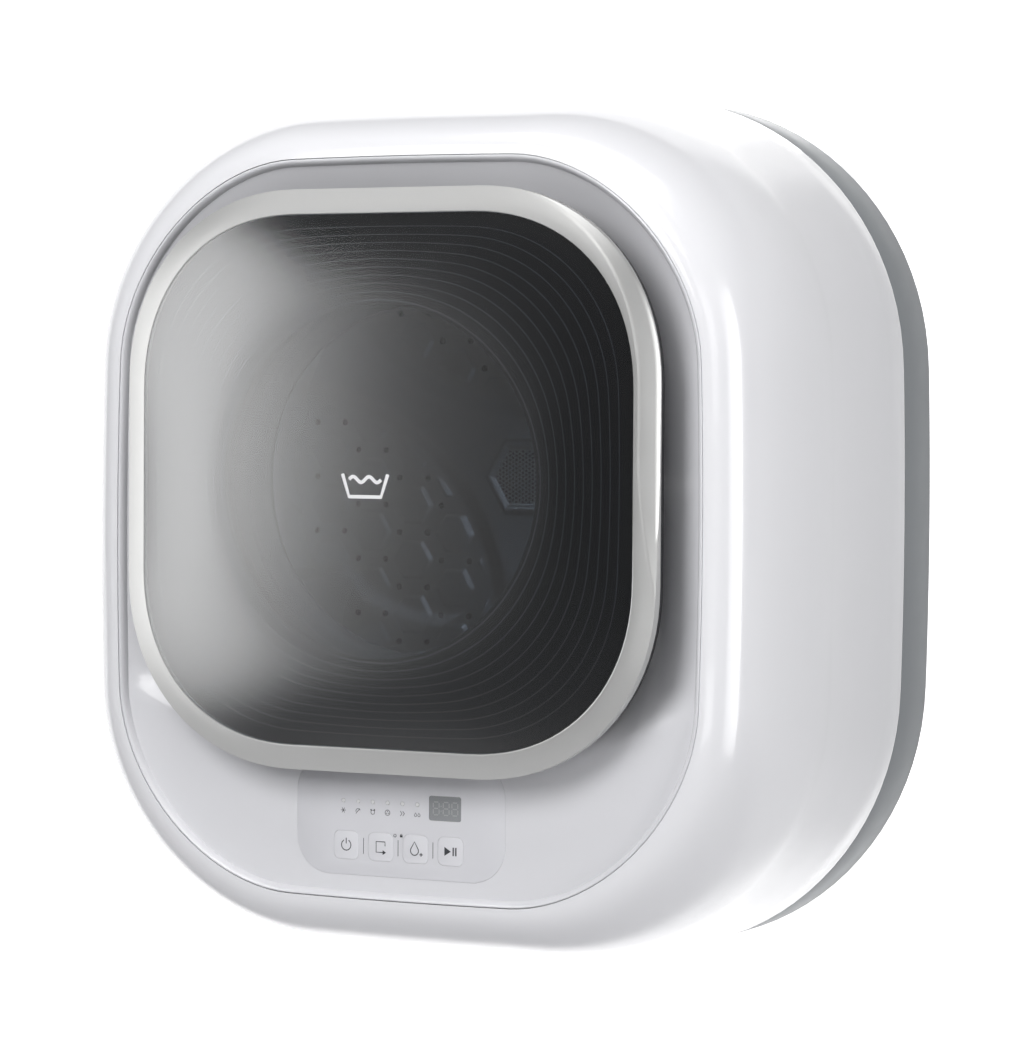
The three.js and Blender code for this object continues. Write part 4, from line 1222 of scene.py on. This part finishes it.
def glass_rows(edge_depth, steps=18):
    """Rows from the glass's edge to its middle, each with its share of the way to the round middle part."""
    edge = outline(GLASS)
    middle = circle(DOME_RADIUS)
    rows = []
    for i in range(steps + 1):
        share = i / steps
        rows.append((share, level(mix(edge, middle, share), edge_depth + dome(share))))
    for i in range(1, CROWN_STEPS):
        radius = DOME_RADIUS * (1 - i / CROWN_STEPS)
        lift = CROWN_HEIGHT * (1 - (radius / DOME_RADIUS) ** 2)
        rows.append((1 + i / CROWN_STEPS, level(circle(radius), edge_depth + DOME_HEIGHT + lift)))
    return rows


def door_glass():
    front = [row for _, row in glass_rows(GLASS_EDGE)]
    back = [row for _, row in glass_rows(GLASS_EDGE - WALL)]
    glass = loft("door_dome", front[::-1] + back, False, 50)
    finish_piece(glass, "door", "door_glass", ["door_glass"])


def door_print():
    rows = [(share, row) for share, row in glass_rows(PRINT_DEPTH, 60) if share <= 1]
    rows.append((1.02, level(circle(DOME_RADIUS - 2), PRINT_DEPTH + DOME_HEIGHT)))
    rows.append((1.03, level(circle(DOME_RADIUS - 3), PRINT_DEPTH + DOME_HEIGHT)))
    rows += [(share, [(x, d - PRINT_THICKNESS, z) for x, d, z in row]) for share, row in reversed(rows)]
    bm = bmesh.new()
    layer = bm.verts.layers.float.new("share")
    layers = skin(bm, [row for _, row in rows], closed=True)
    for (share, _), verts in zip(rows, layers):
        for vert in verts:
            vert[layer] = share
    piece = from_bmesh("door_print", bm, 50)
    finish_piece(piece, "door", "dark_plastic", (), PRINT)


def grip_width(x, z):
    """How wide the finger grip's bevel is: a crescent on the right side of the ring."""
    if x < 0:
        return 0
    up = (z - GRIP_MIDDLE) / GRIP_REACH
    return GRIP_WIDTH * max(0, 1 - up * up) ** 0.8


def ring_face(share):
    """A row of the ring's face. The first half of the way goes to the grip's crease, the rest beyond it."""
    row = []
    for (xi, zi), (xo, zo) in zip(outline(GLASS, -0.4), outline(RING)):
        width = math.hypot(xo - xi, zo - zi)
        grip = min(grip_width(xo, zo), width * 0.8)
        crease = 1 - grip / width
        if share <= 0.5:
            s = crease * share / 0.5
        else:
            s = crease + (1 - crease) * (share - 0.5) / 0.5
        fall = (RING_FRONT - RING_DEPTH) * s ** 1.3 + GRIP_SLOPE * max(0, s - crease) * width
        row.append((xi + (xo - xi) * s, RING_FRONT - fall, zi + (zo - zi) * s))
    return row


def door_ring():
    bore = outline(GLASS, -0.3)
    rows = [level(bore, RING_FRONT - 0.9), level(outline(GLASS, -0.4), RING_FRONT - 0.25)]
    rows += [ring_face(0.02 + 0.48 * i / 5) for i in range(6)]
    rows += [ring_face(0.5 + 0.47 * i / 5) for i in range(1, 6)]
    rows.append([(x, d - 0.6, z) for x, d, z in ring_face(1)])
    for inset, lift in ((0, 0.6), (0.4, 0.1), (1, 0)):
        rows.append(level(outline(RING, inset), RING_BACK + lift))
    seat = outline(GLASS, 6)
    rows += [level(seat, RING_BACK), level(seat, GLASS_SEAT), level(bore, GLASS_SEAT)]
    bezel = loft("door_bezel", rows, sharp=25)
    finish_piece(bezel, "door", "ring_silver", ["door_ring"])


def door_frame():
    rows = []
    for inset, depth in ((3.5, DOOR_BACK + 1), (2.4, DOOR_BACK + 3), (2, DOOR_BACK + 6), (2, DOOR_FRONT)):
        rows.append(level(outline(RING, inset), depth))
    rows += [level(circle(WINDOW_RADIUS), DOOR_FRONT), level(circle(WINDOW_RADIUS), BOWL_SEAT_DEPTH)]
    seat = circle(BOWL_SEAT_RADIUS)
    rows += [level(seat, BOWL_SEAT_DEPTH), level(seat, DOOR_BACK + 0.6)]
    rows += [level(circle(BOWL_SEAT_RADIUS + 0.6), DOOR_BACK), level(outline(RING, 6), DOOR_BACK)]
    body = loft("door_body", rows)
    cutters = []
    for middle in (AXIS_Z - HINGE_ARM, AXIS_Z + HINGE_ARM):
        cutters.append(block((-202, 260, middle - 5.5), (-176, 300, middle + 5.5)))
    cutters.append(block((150, 260, AXIS_Z - 5), (178, 300, AXIS_Z + 5)))
    cutters.append(pin_z(3.3, AXIS_Z - HINGE_ARM - 9, AXIS_Z + HINGE_ARM + 9, *HINGE))
    combine(body, cutters)
    finish_piece(body, "door", "dark_plastic", ["door_frame"])


def door_bowl():
    bowl = lathe("door_bowl_glass", BOWL_PROFILE, sharp=60)
    finish_piece(bowl, "door", "bowl_glass", ["door_bowl"])


def window_mark():
    depth = GLASS_EDGE + DOME_HEIGHT + CROWN_HEIGHT + SIGN_LIFT
    print_and_shade_marks("mark_window", "door", depth, [(TUB, *SIGN_SPOT)], PALE_MARK, "light_guide")


# ---- CAD nodes that stay


def keep_cad_nodes():
    slots = {part["node"]: part["material_slot"] for part in frame["record"]["subparts"]}
    for name, node in frame["nodes"].items():
        if not node.material_slots:
            node.data.materials.append(None)
        for slot in node.material_slots:
            slot.material = MATERIALS[slots[name]]


# ---- the scene

set_camera()
stage()
keep_cad_nodes()
rear_frame()
front_shell()
front_panel()
controls()
control_marks()
gasket()
drum_back()
drum_hole_shade()
drum_shell()
lifters()
door_glass()
door_print()
door_ring()
door_frame()
door_bowl()
window_mark()
lights()
